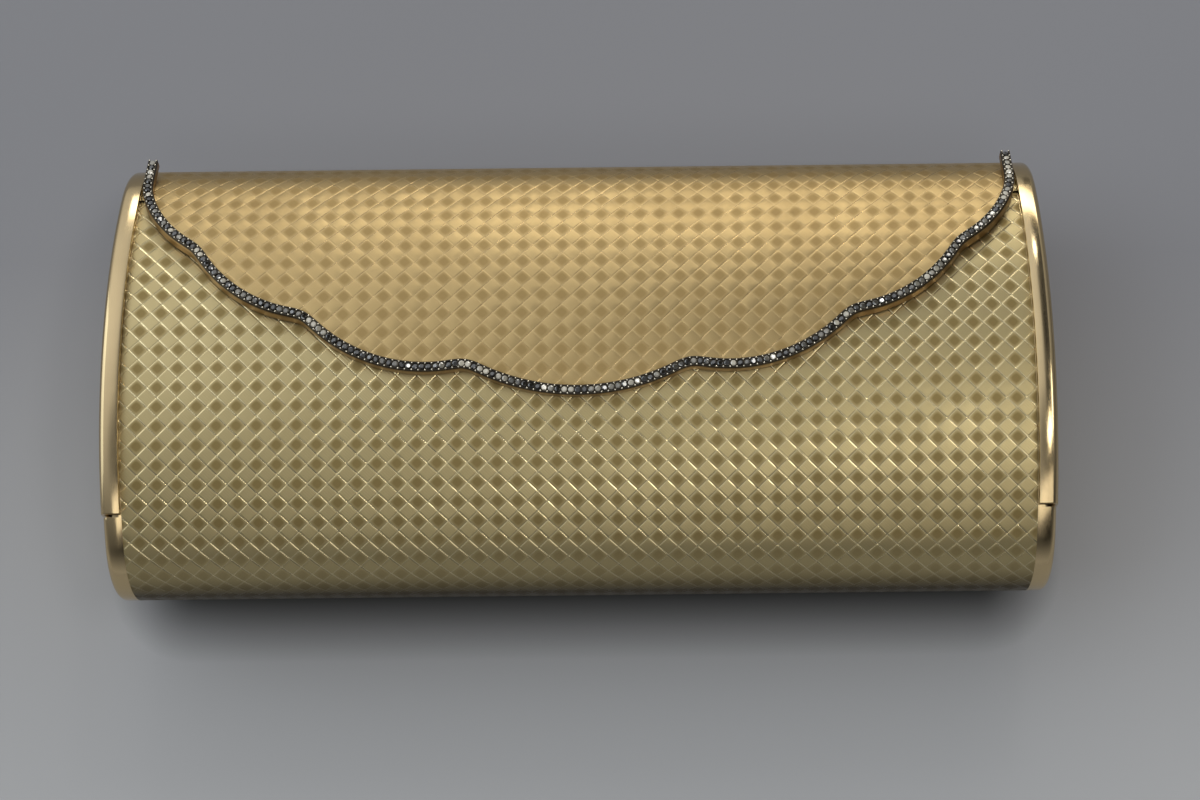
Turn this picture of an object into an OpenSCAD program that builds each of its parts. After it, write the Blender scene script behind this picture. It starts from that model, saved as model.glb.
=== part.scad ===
// Minaudiere: a rigid evening clutch with a hinged scalloped flap.
// X runs along the case, Y from its foot to its hinged top, Z from its back to its flap.
// The case lies on its back. Its section is a four-centre oval in the Y and Z plane, and
// the working coordinates of that plane start at the centre of the oval.

/* [Case] */
// Length over both domed ends
case_len = 168; // [150:1:185]
// Long axis of the base's oval section
case_tall = 79; // [74:0.5:88]
// Short axis of the base's oval section
case_deep = 41; // [38:0.5:46]
// Radius of the section's tight ends
end_r = 14.2; // [12.5:0.1:15.5]
// Thickness of the patterned gold sheet
sheet_t = 1.2; // [0.9:0.05:1.4]
// Running gap between lid and base
lap_gap = 0.3; // [0.2:0.05:0.4]
// Depth of the flat that the back is lapped to
rest_flat = 0.3; // [0.2:0.05:0.5]

/* [Ends] */
// Width of the polished band round each end
band_w = 4; // [3:0.1:4.5]
// Thickness of the base's full end wall
wall_t = 1.6; // [1.2:0.1:1.7]
// Radius rolled on the outer edge of each end
edge_r = 0.8; // [0.4:0.1:0.9]
// Height of the dome on each end
dome_h = 0.6; // [0.3:0.1:0.8]
// Height of the notch in the bands above the foot
notch_rise = 12.5; // [10:0.5:14]
// Depth of the notch's square shoulder
notch_deep = 3; // [2:0.25:4]

/* [Flap] */
// Length of the flap along the sheet, from the crest of the top to its lowest tip
flap_drop = 57.9; // [54:0.5:61]
// Gap between the border's straight runs and the bands
border_gap = 0.6; // [0.3:0.05:3]
// Length of the free straight end of each run, clear of the crest
prong_len = 7.5; // [7:0.1:9]
// Width of the plates that close the lid's upper corners outside the border
corner_w = 5; // [4:0.25:12]

/* [Border] */
// Distance from stone to stone
stone_pitch = 1.16; // [1.1:0.02:1.4]
// Width of a stone across its flats
stone_d = 0.96; // [0.8:0.02:1]
// Height of a stone's crown
crown_h = 0.24; // [0.15:0.01:0.3]
// Depth of a stone's pavilion
pavilion_h = 0.3; // [0.2:0.01:0.34]
// Width of the channel that holds the stones
channel_w = 1.9; // [1.7:0.05:1.9]
// Height of the channel's walls above the flap
channel_h = 1.6; // [1.3:0.05:1.9]
// Thickness of the channel's walls
channel_t = 0.36; // [0.3:0.01:0.38]
// Width of the skirt that hides the flap's cut edge
skirt_w = 0.6; // [0.4:0.05:0.7]
// How far the skirt hangs down
skirt_h = 1.1; // [0.8:0.05:1.15]

/* [Hinge] */
// Distance of the hinge below the crest of the base's oval
hinge_drop = 15.3; // [13.5:0.2:17.5]
// Radius of the hinge barrel
barrel_r = 1.5; // [1.3:0.05:1.6]
// Radius of the hinge pin
pin_r = 0.7; // [0.5:0.05:0.8]
// Radial clearance of the pin in its knuckles
pin_fit = 0.04; // [0.02:0.01:0.08]
// Number of knuckles, an odd number
knuckles = 11; // [7:2:15]
// Gap between neighbouring knuckles
knuckle_gap = 0.2; // [0.1:0.05:0.3]
// Width of each hinge leaf
leaf_w = 2.2; // [1.8:0.1:3]
// Thickness of each hinge leaf
leaf_t = 0.8; // [0.6:0.05:1]

/* [Mouth] */
// Distance of the base's front edge below the crest of its oval
mouth_drop = 8; // [8:0.25:9.5]
// Thickness of the frame that stiffens the mouth
frame_t = 2.2; // [1.8:0.1:3]
// Width of the frame's front and end rails
rail_w = 2; // [1.6:0.1:2.6]
// Radius in the corners of the mouth
mouth_r = 4; // [2:0.5:6]

/* [Catch] */
// Radius of the catch's cross pin
catch_r = 0.8; // [0.6:0.05:0.9]
// Free length of the cross pin between its lugs
catch_w = 9; // [7:0.5:12]
// Thickness of the lugs that hold the cross pin
lug_t = 1.2; // [0.8:0.1:1.6]
// Distance of the cross pin's middle from the mouth frame's front rail
catch_in = 2.4; // [2.2:0.1:2.8]
// Thickness of the lid's spring tongue
tongue_t = 0.6; // [0.4:0.05:0.7]
// Gap between the tongue and the cross pin
tongue_gap = 0.2; // [0.15:0.05:0.25]
// Radius of the bead on the tongue's end
bead_r = 0.5; // [0.4:0.05:0.6]
// How far the bead reaches past the cross pin's near side
bead_hook = 0.1; // [0.05:0.05:0.15]

/* [Lining] */
// Thickness of the suede lining
lining_t = 0.8; // [0.5:0.1:1]
// Glue line behind soft and soldered pieces
glue_gap = 0.1; // [0.05:0.05:0.15]

/* [Fittings] */
// Length of the powder compartment
powder_len = 52; // [44:1:56]
// Distance of the compartment's deck above the section's middle
deck_up = 2; // [0:0.5:3]
// Thickness of the fittings' sheet
fitting_t = 0.8; // [0.6:0.05:1]
// Width of the powder well, from back to front
well_w = 17.5; // [15:0.5:18.5]
// How far the well sits forward of the section's middle
well_shift = 1.8; // [1.5:0.1:2.2]
// Depth of the powder well
well_d = 12; // [9:0.5:16]
// Margin of deck at the ends of the well
deck_rim = 3; // [2.5:0.25:4]
// Thickness of the powder compartment's lid
powder_lid_t = 1.4; // [1.2:0.1:1.8]
// Thickness of the mirror in it
mirror_t = 0.5; // [0.4:0.05:0.7]
// Rim of the lid round its mirror
mirror_rim = 2; // [1.5:0.25:3]
// Running gap of the small lid
fit_gap = 0.15; // [0.1:0.05:0.25]
// Gap round the mirror in its recess
mirror_fit = 0.05; // [0.02:0.01:0.1]
// Width of the lip that opens it
lip_w = 9; // [6:0.5:14]
// How far the lip stands out
lip_out = 1.2; // [0.8:0.1:1.6]
// Radius of its knuckles
powder_barrel_r = 1.1; // [1:0.05:1.3]
// Radius of its pin
powder_pin_r = 0.5; // [0.4:0.05:0.6]
// Thickness of the powder puff
puff_t = 7; // [5:0.5:8]
// Clearance round the powder puff
puff_gap = 0.8; // [0.5:0.1:1.2]
// Radius of the finger scoop in the divider
thumb_r = 7; // [5:0.5:8]
// Bore of the lipstick sleeve
sleeve_bore = 15.6; // [14:0.2:16]
// Height of the lipstick sleeve
sleeve_h = 30; // [24:1:34]

/* [Hidden] */
$fn = 96;

// Overrun of cuts, and a reach past everything
over = 1;
far = 3 * case_tall;
// Points round an oval slice, and the angles of the slices that roll an edge
slice_points = 96;
roll_angles = [0, 30, 60, 90];
// How far in the dome's slices lie, as shares of half the depth, and how high they stand
dome_in_shares = [0.25, 0.5];
dome_up_shares = [0.7, 1];
// The cusps of the scalloped edge: across as shares of half the border's width, and down
// from the crest as shares of the flap's length
cusp_x_shares = [0.249, 0.613, 0.864, 1];
cusp_drop_shares = [0.914, 0.76, 0.532, 0.293];
// The bulge of each lobe as a share of the straight line between its cusps, middle lobe first
bulge_shares = [0.131, 0.14, 0.125, 0.107];
// Width of a stone's table as a share of the stone
table_share = 0.6;
// Height of the stones' girdle above the channel's wall, as a share of the crown
girdle_share = 0.4;
stone_sides = 6;
// The tight ends stand this much proud of the faces, so that their arcs cross cleanly
join_lap = 0.02;

gold = [0.80, 0.64, 0.34];
rich_gold = [0.85, 0.68, 0.36];
pale_gold = [0.76, 0.68, 0.46];
white_metal = [0.78, 0.78, 0.80];
stone_grey = [0.86, 0.88, 0.92];
suede = [0.23, 0.17, 0.13];
glass = [0.80, 0.84, 0.86];
puff_pink = [0.88, 0.74, 0.70];

// The base's oval: half axes, face radius, and where its arcs meet
a = case_tall / 2;
b = case_deep / 2;
end_c = a - end_r;
face_r = (end_c ^ 2 + b ^ 2 - end_r ^ 2) / (2 * (b - end_r));
face_c = face_r - b;
join_angle = asin(end_c / (face_r - end_r));
// The lid's oval is the base's, grown by one sheet and the gap below it
step = sheet_t + lap_gap;
top = a + step;
// Lengths along the lid's sheet from the middle of the front to the face's end and to the crest
face_s = (face_r + step) * join_angle * PI / 180;
crest_s = face_s + (end_r + step) * (90 - join_angle) * PI / 180;

// Places along X
half_len = case_len / 2;
sheet_x = half_len - band_w;
wall_x = sheet_x + wall_t;
cheek_x = wall_x + lap_gap;
rim_x = half_len - dome_h;

// Height of the front surface at a distance p above the middle, on an oval grown by grow
function front_q(p, grow = 0) =
  abs(p) <= end_c + (end_r + grow) * sin(join_angle)
  ? sqrt((face_r + grow) ^ 2 - p ^ 2) - face_c
  : sqrt((end_r + grow) ^ 2 - (abs(p) - end_c) ^ 2);

// Heights of hinge, mouth and notch from the middle of the section
hinge_up = a - hinge_drop;
mouth_up = a - mouth_drop;
notch_down = a - notch_rise;

hinge = [hinge_up, face_c - sqrt((face_r + step - barrel_r) ^ 2 - hinge_up ^ 2)];
seam_end = [-notch_down, front_q(-notch_down) - notch_deep];
seam_dir = (hinge - seam_end) / norm(hinge - seam_end);
seam_angle = atan2(seam_dir[1], seam_dir[0]);

// The mouth is a slanting line from the front edge to just below the hinge barrel
mouth_front = [mouth_up, front_q(mouth_up)];
mouth_back_p = hinge_up - barrel_r - 2 * lap_gap - glue_gap;
mouth_back = [mouth_back_p, -front_q(mouth_back_p)];
mouth_chord = norm(mouth_front - mouth_back);
mouth_dir = (mouth_front - mouth_back) / mouth_chord;
mouth_angle = atan2(mouth_dir[1], mouth_dir[0]);
hinge_along = (hinge - mouth_back) * mouth_dir;
back_rail = hinge_along + barrel_r + lap_gap + leaf_w;
front_rail = sheet_t + glue_gap + rail_w;
window_x = sheet_x - glue_gap - rail_w;

// Inner face of the lining
inner = sheet_t + glue_gap + lining_t;
inner_x = sheet_x - glue_gap - lining_t;

// The whole part is drawn about the oval's centre and then set on its flat back,
// with the middle of its outline over the origin
mid_p = (top - a) / 2;
rest_q = b - rest_flat;
module placed() translate([0, -mid_p, rest_q]) children();

// Plane figures of the section

module oval(grow) union() {
  intersection() {
    translate([0, -face_c]) circle(r = face_r + grow, $fn = 360);
    translate([0, face_c]) circle(r = face_r + grow, $fn = 360);
    square([2 * (end_c + (end_r + grow) * sin(join_angle)), far], center = true);
  }
  for (s = [-1, 1]) translate([s * end_c, 0]) circle(r = end_r + grow + join_lap);
}
module oval_ring(outer, wall) difference() { oval(outer); oval(outer - wall); }
// Everything to the left of a line through a point
module half_plane(point, angle) translate(point) rotate(angle) translate([-far, 0]) square([2 * far, far]);
// The base's side of the mouth, kept down by a distance
module below_mouth(down) half_plane(mouth_back + down * [-mouth_dir[1], mouth_dir[0]], mouth_angle);
// The lid's side of the seam between the end plates
module lid_zone() intersection() {
  half_plane(seam_end + lap_gap / 2 * [-seam_dir[1], seam_dir[0]], seam_angle);
  half_plane(seam_end + [lap_gap / 2, 0], -90);
}
module base_zone() union() {
  half_plane(seam_end - lap_gap / 2 * [-seam_dir[1], seam_dir[0]], seam_angle + 180);
  half_plane(seam_end - [lap_gap / 2, 0], 90);
}
module along_x(x0, x1) translate([x0, 0, 0]) rotate([90, 0, 90]) linear_extrude(x1 - x0) children();
module side(s) mirror([s < 0 ? 1 : 0, 0, 0]) children();

// Slices round the oval, for the rolled and domed ends
function oval_point(t, grow) =
  let (turn = t % 180, low = t >= 180, back = turn > 90, w = back ? 180 - turn : turn,
       p = w < 90 - join_angle ? end_c + (end_r + grow) * cos(w) : (face_r + grow) * cos(w),
       q = w < 90 - join_angle ? (end_r + grow) * sin(w) : (face_r + grow) * sin(w) - face_c)
  [back != low ? -p : p, low ? -q : q];
// Even steps in angle would crowd the tight ends, so each point goes by its share of the length
end_run = (end_r + step) * (90 - join_angle);
face_run = (face_r + step) * join_angle;
function turn_at(share) =
  let (run = share * (end_run + face_run))
  run < end_run ? run / (end_r + step) : (90 - join_angle) + (run - end_run) / (face_r + step);
function slice_outline(grow) = [
  for (i = [0:slice_points - 1])
    let (quarter = slice_points / 4, k = floor(i / quarter), share = (i % quarter) / quarter,
         t = k % 2 == 0 ? turn_at(share) : 180 - turn_at(1 - share))
    oval_point(k >= 2 ? t + 180 : t, grow)
];
// A solid through slices of the oval, each given by its place along X and how far it is grown
module lofted(slices) {
  n = slice_points;
  points = [for (c = slices, pt = slice_outline(c[1])) [c[0], pt[0], pt[1]]];
  sides = [
    for (i = [0:len(slices) - 2], k = [0:n - 1])
      let (a0 = i * n + k, a1 = i * n + (k + 1) % n)
      each [[a0, a1 + n, a1], [a0, a0 + n, a1 + n]]
  ];
  caps = [[for (k = [0:n - 1]) k], [for (k = [n - 1:-1:0]) (len(slices) - 1) * n + k]];
  polyhedron(points, concat(sides, caps), convexity = 4);
}
module end_form(x0, grow) lofted(concat(
  [[x0, grow]],
  [for (w = roll_angles) [rim_x - edge_r * (1 - sin(w)), grow - edge_r * (1 - cos(w))]],
  [for (i = [0:len(dome_in_shares) - 1]) [rim_x + dome_h * dome_up_shares[i], step - b * dome_in_shares[i]]]
));

// Line of the scalloped border, on the flap laid flat: across, and up from the middle of
// the front. It is made of arcs between cusps and a straight run at each end.

border_x = sheet_x - border_gap - channel_w / 2;
cusps = [for (i = [0:3]) [border_x * cusp_x_shares[i], crest_s - flap_drop * cusp_drop_shares[i]]];
function lobe(p0, p1, share) =
  let (chord = norm(p1 - p0), u = (p1 - p0) / chord, n = [u[1], -u[0]], rise = share * chord,
       rad = (chord ^ 2 / 4 + rise ^ 2) / (2 * rise), w = asin(chord / 2 / rad),
       count = round(2 * w * PI / 180 * rad / stone_pitch))
  [for (i = [1:count])
    let (t = w * (2 * i / count - 1))
    p0 + u * (chord / 2 + rad * sin(t)) + n * (rad * cos(t) - rad + rise)];
function run(p0, up) =
  let (count = round(up / stone_pitch)) [for (i = [1:count]) p0 + [0, up * i / count]];
function mirrored(line) = [for (i = [len(line) - 1:-1:0]) [-line[i][0], line[i][1]]];
half_line = concat(
  lobe(cusps[0], cusps[1], bulge_shares[1]),
  lobe(cusps[1], cusps[2], bulge_shares[2]),
  lobe(cusps[2], cusps[3], bulge_shares[3]),
  run(cusps[3], face_s + prong_len - cusps[3][1])
);
left_cusp = [-cusps[0][0], cusps[0][1]];
sharp_line = concat(
  mirrored(half_line), [left_cusp], lobe(left_cusp, cusps[0], bulge_shares[0]), half_line
);
function soften(line) = [
  for (i = [0:len(line) - 1])
    i == 0 || i == len(line) - 1 ? line[i] : (line[i - 1] + 2 * line[i] + line[i + 1]) / 4
];
border_line = soften(soften(soften(sharp_line)));
stone_count = len(border_line) - 1;

// A point of the laid-out border, bent round the lid's face: its place and its normal. Past the
// face it goes straight on, clear of the tight end.
function bend_angle(s) = min(s, face_s) / (face_r + step) * 180 / PI;
function bent_normal(s) = let (w = bend_angle(s)) [0, sin(w), cos(w)];
function bent(xs, up = 0) =
  let (w = bend_angle(xs[1]), rad = face_r + step + up, on = max(0, xs[1] - face_s))
  [xs[0], rad * sin(w) + on * cos(w), rad * cos(w) - face_c - on * sin(w)];
function unit(v) = v / norm(v);

// The patterned sheet of the base: front, foot and back in one piece
module base_shell() color(pale_gold) placed() difference() {
  along_x(-sheet_x, sheet_x) intersection() {
    oval_ring(0, sheet_t);
    below_mouth(0);
  }
  rest_cut();
}
module rest_cut() translate([-far / 2, -far / 2, -rest_q - far]) cube(far);

// End of the base: a full wall inside the lid's end, and a plate flush with it below the seam
module base_end(s) color(gold) placed() side(s) difference() {
  intersection() {
    end_form(sheet_x, 0);
    union() {
      along_x(sheet_x - over, wall_x) below_mouth(0);
      along_x(sheet_x - over, half_len + over) base_zone();
    }
  }
  rest_cut();
}

// Things drawn in the plane of the mouth: X along the case, Y from the hinge to the front
module in_mouth() translate([0, mouth_back[0], mouth_back[1]]) rotate([mouth_angle, 0, 0]) children();

module rounded_window() {
  wide = window_x;
  y0 = back_rail;
  y1 = mouth_chord - front_rail;
  union() {
    translate([-wide + mouth_r, y0]) square([2 * (wide - mouth_r), y1 - y0]);
    translate([-wide, y0 + mouth_r]) square([2 * wide, y1 - y0 - 2 * mouth_r]);
    for (x = [-wide + mouth_r, wide - mouth_r], y = [y0 + mouth_r, y1 - mouth_r])
      translate([x, y]) circle(r = mouth_r);
  }
}
module mouth_frame() color(rich_gold) placed() difference() {
  along_x(-sheet_x + glue_gap, sheet_x - glue_gap) difference() {
    intersection() {
      oval(-sheet_t - glue_gap);
      below_mouth(0);
    }
    below_mouth(frame_t);
  }
  in_mouth() translate([0, 0, -over]) linear_extrude(frame_t + 2 * over) rounded_window();
}

// Hinge: barrels on one pin, with knuckles taken in turn by base and lid
knuckle_run = 2 * (sheet_x - barrel_r / 2);
knuckle_len = knuckle_run / knuckles;
module knuckle_places(first) for (i = [first:2:knuckles - 1])
  translate([-knuckle_run / 2 + i * knuckle_len, 0, 0]) children();
module knuckle_bar() along_x(knuckle_gap / 2, knuckle_len - knuckle_gap / 2) children();
module at_hinge() translate(hinge) children();
module hinge_bore() translate([-far / 2, hinge[0], hinge[1]]) rotate([0, 90, 0]) cylinder(r = pin_r + pin_fit, h = far);

module base_hinge_leaf() color(rich_gold) placed() difference() {
  union() {
    in_mouth() translate([-knuckle_run / 2, back_rail - leaf_w, -leaf_t - glue_gap])
      cube([knuckle_run, leaf_w, leaf_t]);
    knuckle_places(0) {
      knuckle_bar() at_hinge() circle(r = barrel_r);
      in_mouth() translate([knuckle_gap / 2, hinge_along, -leaf_t - glue_gap])
        cube([knuckle_len - knuckle_gap, back_rail - hinge_along, leaf_t]);
    }
  }
  hinge_bore();
}
module lid_leaf_strip() intersection() {
  oval_ring(lap_gap - glue_gap, leaf_t);
  translate([hinge_up + barrel_r + lap_gap, -far]) square([leaf_w, far]);
}
module lid_hinge_leaf() color(rich_gold) placed() difference() {
  union() {
    along_x(-knuckle_run / 2, knuckle_run / 2) lid_leaf_strip();
    knuckle_places(1) knuckle_bar() {
      at_hinge() circle(r = barrel_r);
      intersection() {
        oval_ring(lap_gap - glue_gap, leaf_t);
        translate([hinge_up, -far]) square([barrel_r + lap_gap + leaf_w, far]);
      }
    }
  }
  hinge_bore();
}
module hinge_pin() color(rich_gold) placed()
  translate([-knuckle_run / 2, hinge[0], hinge[1]]) rotate([0, 90, 0]) cylinder(r = pin_r, h = knuckle_run);

// Snap catch: a cross pin held under the front rail, and a sprung tongue with a bead on the lid
catch_along = mouth_chord - front_rail - catch_in;
catch_down = frame_t / 2;
bead_down = catch_down + catch_r + bead_r + tongue_gap;
module in_mouth_figure() translate(mouth_back) rotate(mouth_angle) children();
module catch_keeper() color(rich_gold) placed() union() {
  for (s = [-1, 1]) side(s) along_x(catch_w / 2, catch_w / 2 + lug_t) in_mouth_figure() union() {
    translate([catch_along, catch_down]) circle(r = catch_r + lug_t / 2);
    translate([catch_along, catch_down - catch_r]) square([catch_in - glue_gap / 2, 2 * catch_r]);
  }
  along_x(-catch_w / 2 - lug_t / 2, catch_w / 2 + lug_t / 2) in_mouth_figure()
    translate([catch_along, catch_down]) circle(r = catch_r);
}
tongue_near = catch_along + catch_r + tongue_gap;
tongue_half = catch_w / 2 - lap_gap;
module catch_tongue() color(rich_gold) placed() union() {
  along_x(-tongue_half, tongue_half) intersection() {
    oval(lap_gap - glue_gap);
    in_mouth_figure() union() {
      translate([tongue_near, -far]) square([tongue_t, far + bead_down]);
      translate([tongue_near + bead_r - tongue_gap - bead_hook, bead_down]) circle(r = bead_r);
    }
  }
  along_x(-tongue_half, tongue_half) intersection() {
    oval_ring(lap_gap - glue_gap, leaf_t);
    in_mouth_figure() translate([tongue_near - leaf_w / 2, -far]) square([leaf_w + tongue_t, far]);
  }
}

// Suede tray that lines the base, below the mouth frame
module case_lining() color(suede) placed() union() {
  along_x(-sheet_x + glue_gap, sheet_x - glue_gap) intersection() {
    oval_ring(-sheet_t - glue_gap, lining_t);
    below_mouth(frame_t + glue_gap);
  }
  for (s = [-1, 1]) side(s) along_x(inner_x, sheet_x - glue_gap) intersection() {
    oval(-sheet_t - glue_gap);
    below_mouth(frame_t + glue_gap);
  }
}
// Plate behind the flap's upper corner, that goes on where the base's front ends
corner_x = sheet_x - corner_w;
module corner_plate(s) color(pale_gold) placed() side(s) along_x(corner_x, sheet_x) difference() {
  intersection() {
    oval_ring(lap_gap - glue_gap, sheet_t);
    square([far, far]);
  }
  below_mouth(-lap_gap);
}
// Suede behind the top of the flap, left open where the catch's tongue is soldered
module lid_lining() color(suede) placed() difference() {
  along_x(-corner_x + glue_gap, corner_x - glue_gap) intersection() {
    oval_ring(lap_gap - glue_gap, lining_t);
    union() {
      translate([mouth_up + 2 * lap_gap, 0]) square(far);
      translate([hinge_up + barrel_r + lap_gap + leaf_w + glue_gap, -far]) square([far, far + over]);
    }
  }
  along_x(-tongue_half - lap_gap, tongue_half + lap_gap)
    in_mouth_figure() translate([tongue_near - leaf_w, -far]) square([far, far]);
}

// Partition between the open compartment and the powder compartment
divider_x = inner_x - glue_gap - powder_len;
module divider() color(rich_gold) placed() along_x(divider_x - fitting_t, divider_x) difference() {
  intersection() {
    oval(-inner - glue_gap);
    below_mouth(frame_t + glue_gap);
  }
  in_mouth_figure() translate([mouth_chord / 2, 0]) circle(r = thumb_r);
}

// Powder compartment: a deck across the case with a well in it
well_x0 = divider_x + glue_gap + deck_rim;
well_x1 = inner_x - glue_gap - deck_rim;
well_q0 = -well_w / 2 + well_shift;
well_q1 = well_q0 + well_w;
powder_axis = [deck_up + fit_gap + powder_barrel_r, well_q0 - powder_barrel_r - fit_gap];
powder_lid_x0 = well_x0 - fitting_t;
powder_lid_x1 = well_x1 + fitting_t;
powder_knuckle = (powder_lid_x1 - powder_lid_x0) / 4;
module at_powder_axis() translate(powder_axis) children();
module powder_bore() along_x(powder_lid_x0 - over, powder_lid_x1 + over)
  at_powder_axis() circle(r = powder_pin_r + pin_fit);
module powder_well() color(gold) placed() difference() {
  union() {
    along_x(divider_x + glue_gap, inner_x - glue_gap) intersection() {
      oval(-inner - glue_gap);
      translate([deck_up - fitting_t, -far / 2]) square([fitting_t, far]);
    }
    translate([well_x0 - fitting_t, deck_up - well_d - fitting_t, well_q0 - fitting_t])
      cube([well_x1 - well_x0 + 2 * fitting_t, well_d + fitting_t, well_w + 2 * fitting_t]);
    for (x = [powder_lid_x0, powder_lid_x1 - powder_knuckle])
      along_x(x, x + powder_knuckle) union() {
        at_powder_axis() circle(r = powder_barrel_r);
        translate([deck_up - fitting_t / 2, powder_axis[1] - powder_barrel_r])
          square([powder_axis[0] - deck_up + fitting_t / 2, powder_barrel_r + powder_pin_r]);
      }
  }
  translate([well_x0, deck_up - well_d, well_q0]) cube([well_x1 - well_x0, well_d + over, well_w]);
  powder_bore();
}
module powder_pin() color(gold) placed()
  along_x(powder_lid_x0, powder_lid_x1) at_powder_axis() circle(r = powder_pin_r);

// Its lid, hinged at the back of the well, with a mirror let into the underside
lid_p0 = deck_up + fit_gap;
module powder_lid() color(gold) placed() difference() {
  union() {
    translate([powder_lid_x0, lid_p0, powder_axis[1] + powder_barrel_r + fit_gap])
      cube([powder_lid_x1 - powder_lid_x0, powder_lid_t, powder_reach - powder_barrel_r - fit_gap]);
    along_x(powder_lid_x0 + powder_knuckle + fit_gap, powder_lid_x1 - powder_knuckle - fit_gap) union() {
      at_powder_axis() circle(r = powder_barrel_r);
      translate([lid_p0, powder_axis[1]]) square([powder_lid_t, powder_barrel_r + 2 * fit_gap]);
    }
    translate([(well_x0 + well_x1 - lip_w) / 2, lid_p0, powder_axis[1] + powder_reach - fit_gap])
      cube([lip_w, powder_lid_t / 2, lip_out + fit_gap]);
  }
  powder_bore();
  translate([well_x0 + mirror_rim, lid_p0 - over, mirror_q0])
    cube([well_x1 - well_x0 - 2 * mirror_rim, mirror_t + over, mirror_q1 - mirror_q0]);
}
powder_reach = well_q1 + fitting_t - powder_axis[1];
mirror_q0 = well_q0 + mirror_rim;
mirror_q1 = well_q1 - mirror_rim;
module powder_mirror() color(glass) placed()
  translate([well_x0 + mirror_rim + mirror_fit, lid_p0, mirror_q0 + mirror_fit])
    cube([well_x1 - well_x0 - 2 * (mirror_rim + mirror_fit), mirror_t - mirror_fit, mirror_q1 - mirror_q0 - 2 * mirror_fit]);

// Oblong puff lying in the well
module powder_puff() color(puff_pink) placed() {
  puff_r = well_w / 2 - puff_gap;
  x0 = well_x0 + puff_gap + puff_r;
  x1 = well_x1 - puff_gap - puff_r;
  translate([0, deck_up - well_d + glue_gap, well_q0 + well_w / 2]) rotate([-90, 0, 0]) linear_extrude(puff_t) union() {
    translate([x0, -puff_r]) square([x1 - x0, 2 * puff_r]);
    for (x = [x0, x1]) translate([x, 0]) circle(r = puff_r);
  }
}

// Open sleeve that holds a lipstick upright at the other end
sleeve_r = sleeve_bore / 2 + fitting_t;
sleeve_x = -(inner_x - sleeve_r - lap_gap);
sleeve_foot = -end_c - sqrt((end_r - inner) ^ 2 - sleeve_r ^ 2) + lap_gap;
module lipstick_sleeve() color(gold) placed()
  translate([sleeve_x, sleeve_foot, 0]) rotate([-90, 0, 0]) difference() {
    cylinder(r = sleeve_r, h = sleeve_h);
    translate([0, 0, fitting_t]) cylinder(r = sleeve_bore / 2, h = sleeve_h);
  }

// The flap and the top of the lid in one patterned sheet, cut to the scalloped line
module flap() color(rich_gold) placed() difference() {
  along_x(-sheet_x, sheet_x) intersection() {
    oval_ring(step, sheet_t);
    union() {
      translate([-notch_down, 0]) square(far);
      translate([hinge_up + barrel_r + lap_gap, -far]) square([far, far + over]);
    }
  }
  flap_cut();
}
cut_line = [for (pt = border_line) if (pt[1] < face_s) [pt[0], bent(pt)[1]]];
cut_floor = bent([0, face_s + prong_len])[2] - skirt_h;
module flap_cut() translate([0, 0, cut_floor]) linear_extrude(far) polygon(concat(
  [[-border_x, far]], cut_line, [[border_x, far], [far, far], [far, -far], [-far, -far], [-far, far]]
));

// End of the lid: a cheek outside the base's wall, with the polished band over the panels' ends
module lid_end(s) color(gold) placed() side(s) intersection() {
  difference() {
    end_form(sheet_x, step);
    along_x(sheet_x - over, cheek_x) oval(lap_gap);
  }
  along_x(sheet_x - over, half_len + over) lid_zone();
}

// A closed strip with the given section, swept along frames of place, tangent and normal
module swept(section, line) {
  n = len(section);
  count = len(line);
  points = [
    for (i = [0:count - 1])
      let (before = bent(line[max(i - 1, 0)]), after = bent(line[min(i + 1, count - 1)]),
           up = bent_normal(line[i][1]), t = unit(after - before), out = unit(cross(t, up)),
           ahead = unit(bent(line[min(i + 1, count - 1)]) - bent(line[min(i, count - 2)])),
           mitre = 1 / max(0.5, sqrt((1 + ahead * t) / 2)))
      for (c = section) bent(line[i]) + out * c[0] * mitre + up * c[1]
  ];
  sides = [
    for (i = [0:count - 2], k = [0:n - 1])
      let (a0 = i * n + k, a1 = i * n + (k + 1) % n)
      each [[a0, a1 + n, a1], [a0, a0 + n, a1 + n]]
  ];
  caps = [[for (k = [0:n - 1]) k], [for (k = [n - 1:-1:0]) (count - 1) * n + k]];
  polyhedron(points, concat(sides, caps), convexity = 12);
}
groove = channel_w / 2 - channel_t;
girdle_up = channel_h - crown_h * girdle_share;
groove_up = girdle_up - pavilion_h - glue_gap;
channel_section = [
  [-channel_w / 2, glue_gap / 5], [channel_w / 2 - skirt_w, glue_gap / 5], [channel_w / 2 - skirt_w, -skirt_h],
  [channel_w / 2, -skirt_h], [channel_w / 2, channel_h], [groove, channel_h], [groove, groove_up],
  [-groove, groove_up], [-groove, channel_h], [-channel_w / 2, channel_h]
];
module border_channel() color(white_metal) placed() swept(channel_section, border_line);

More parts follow.
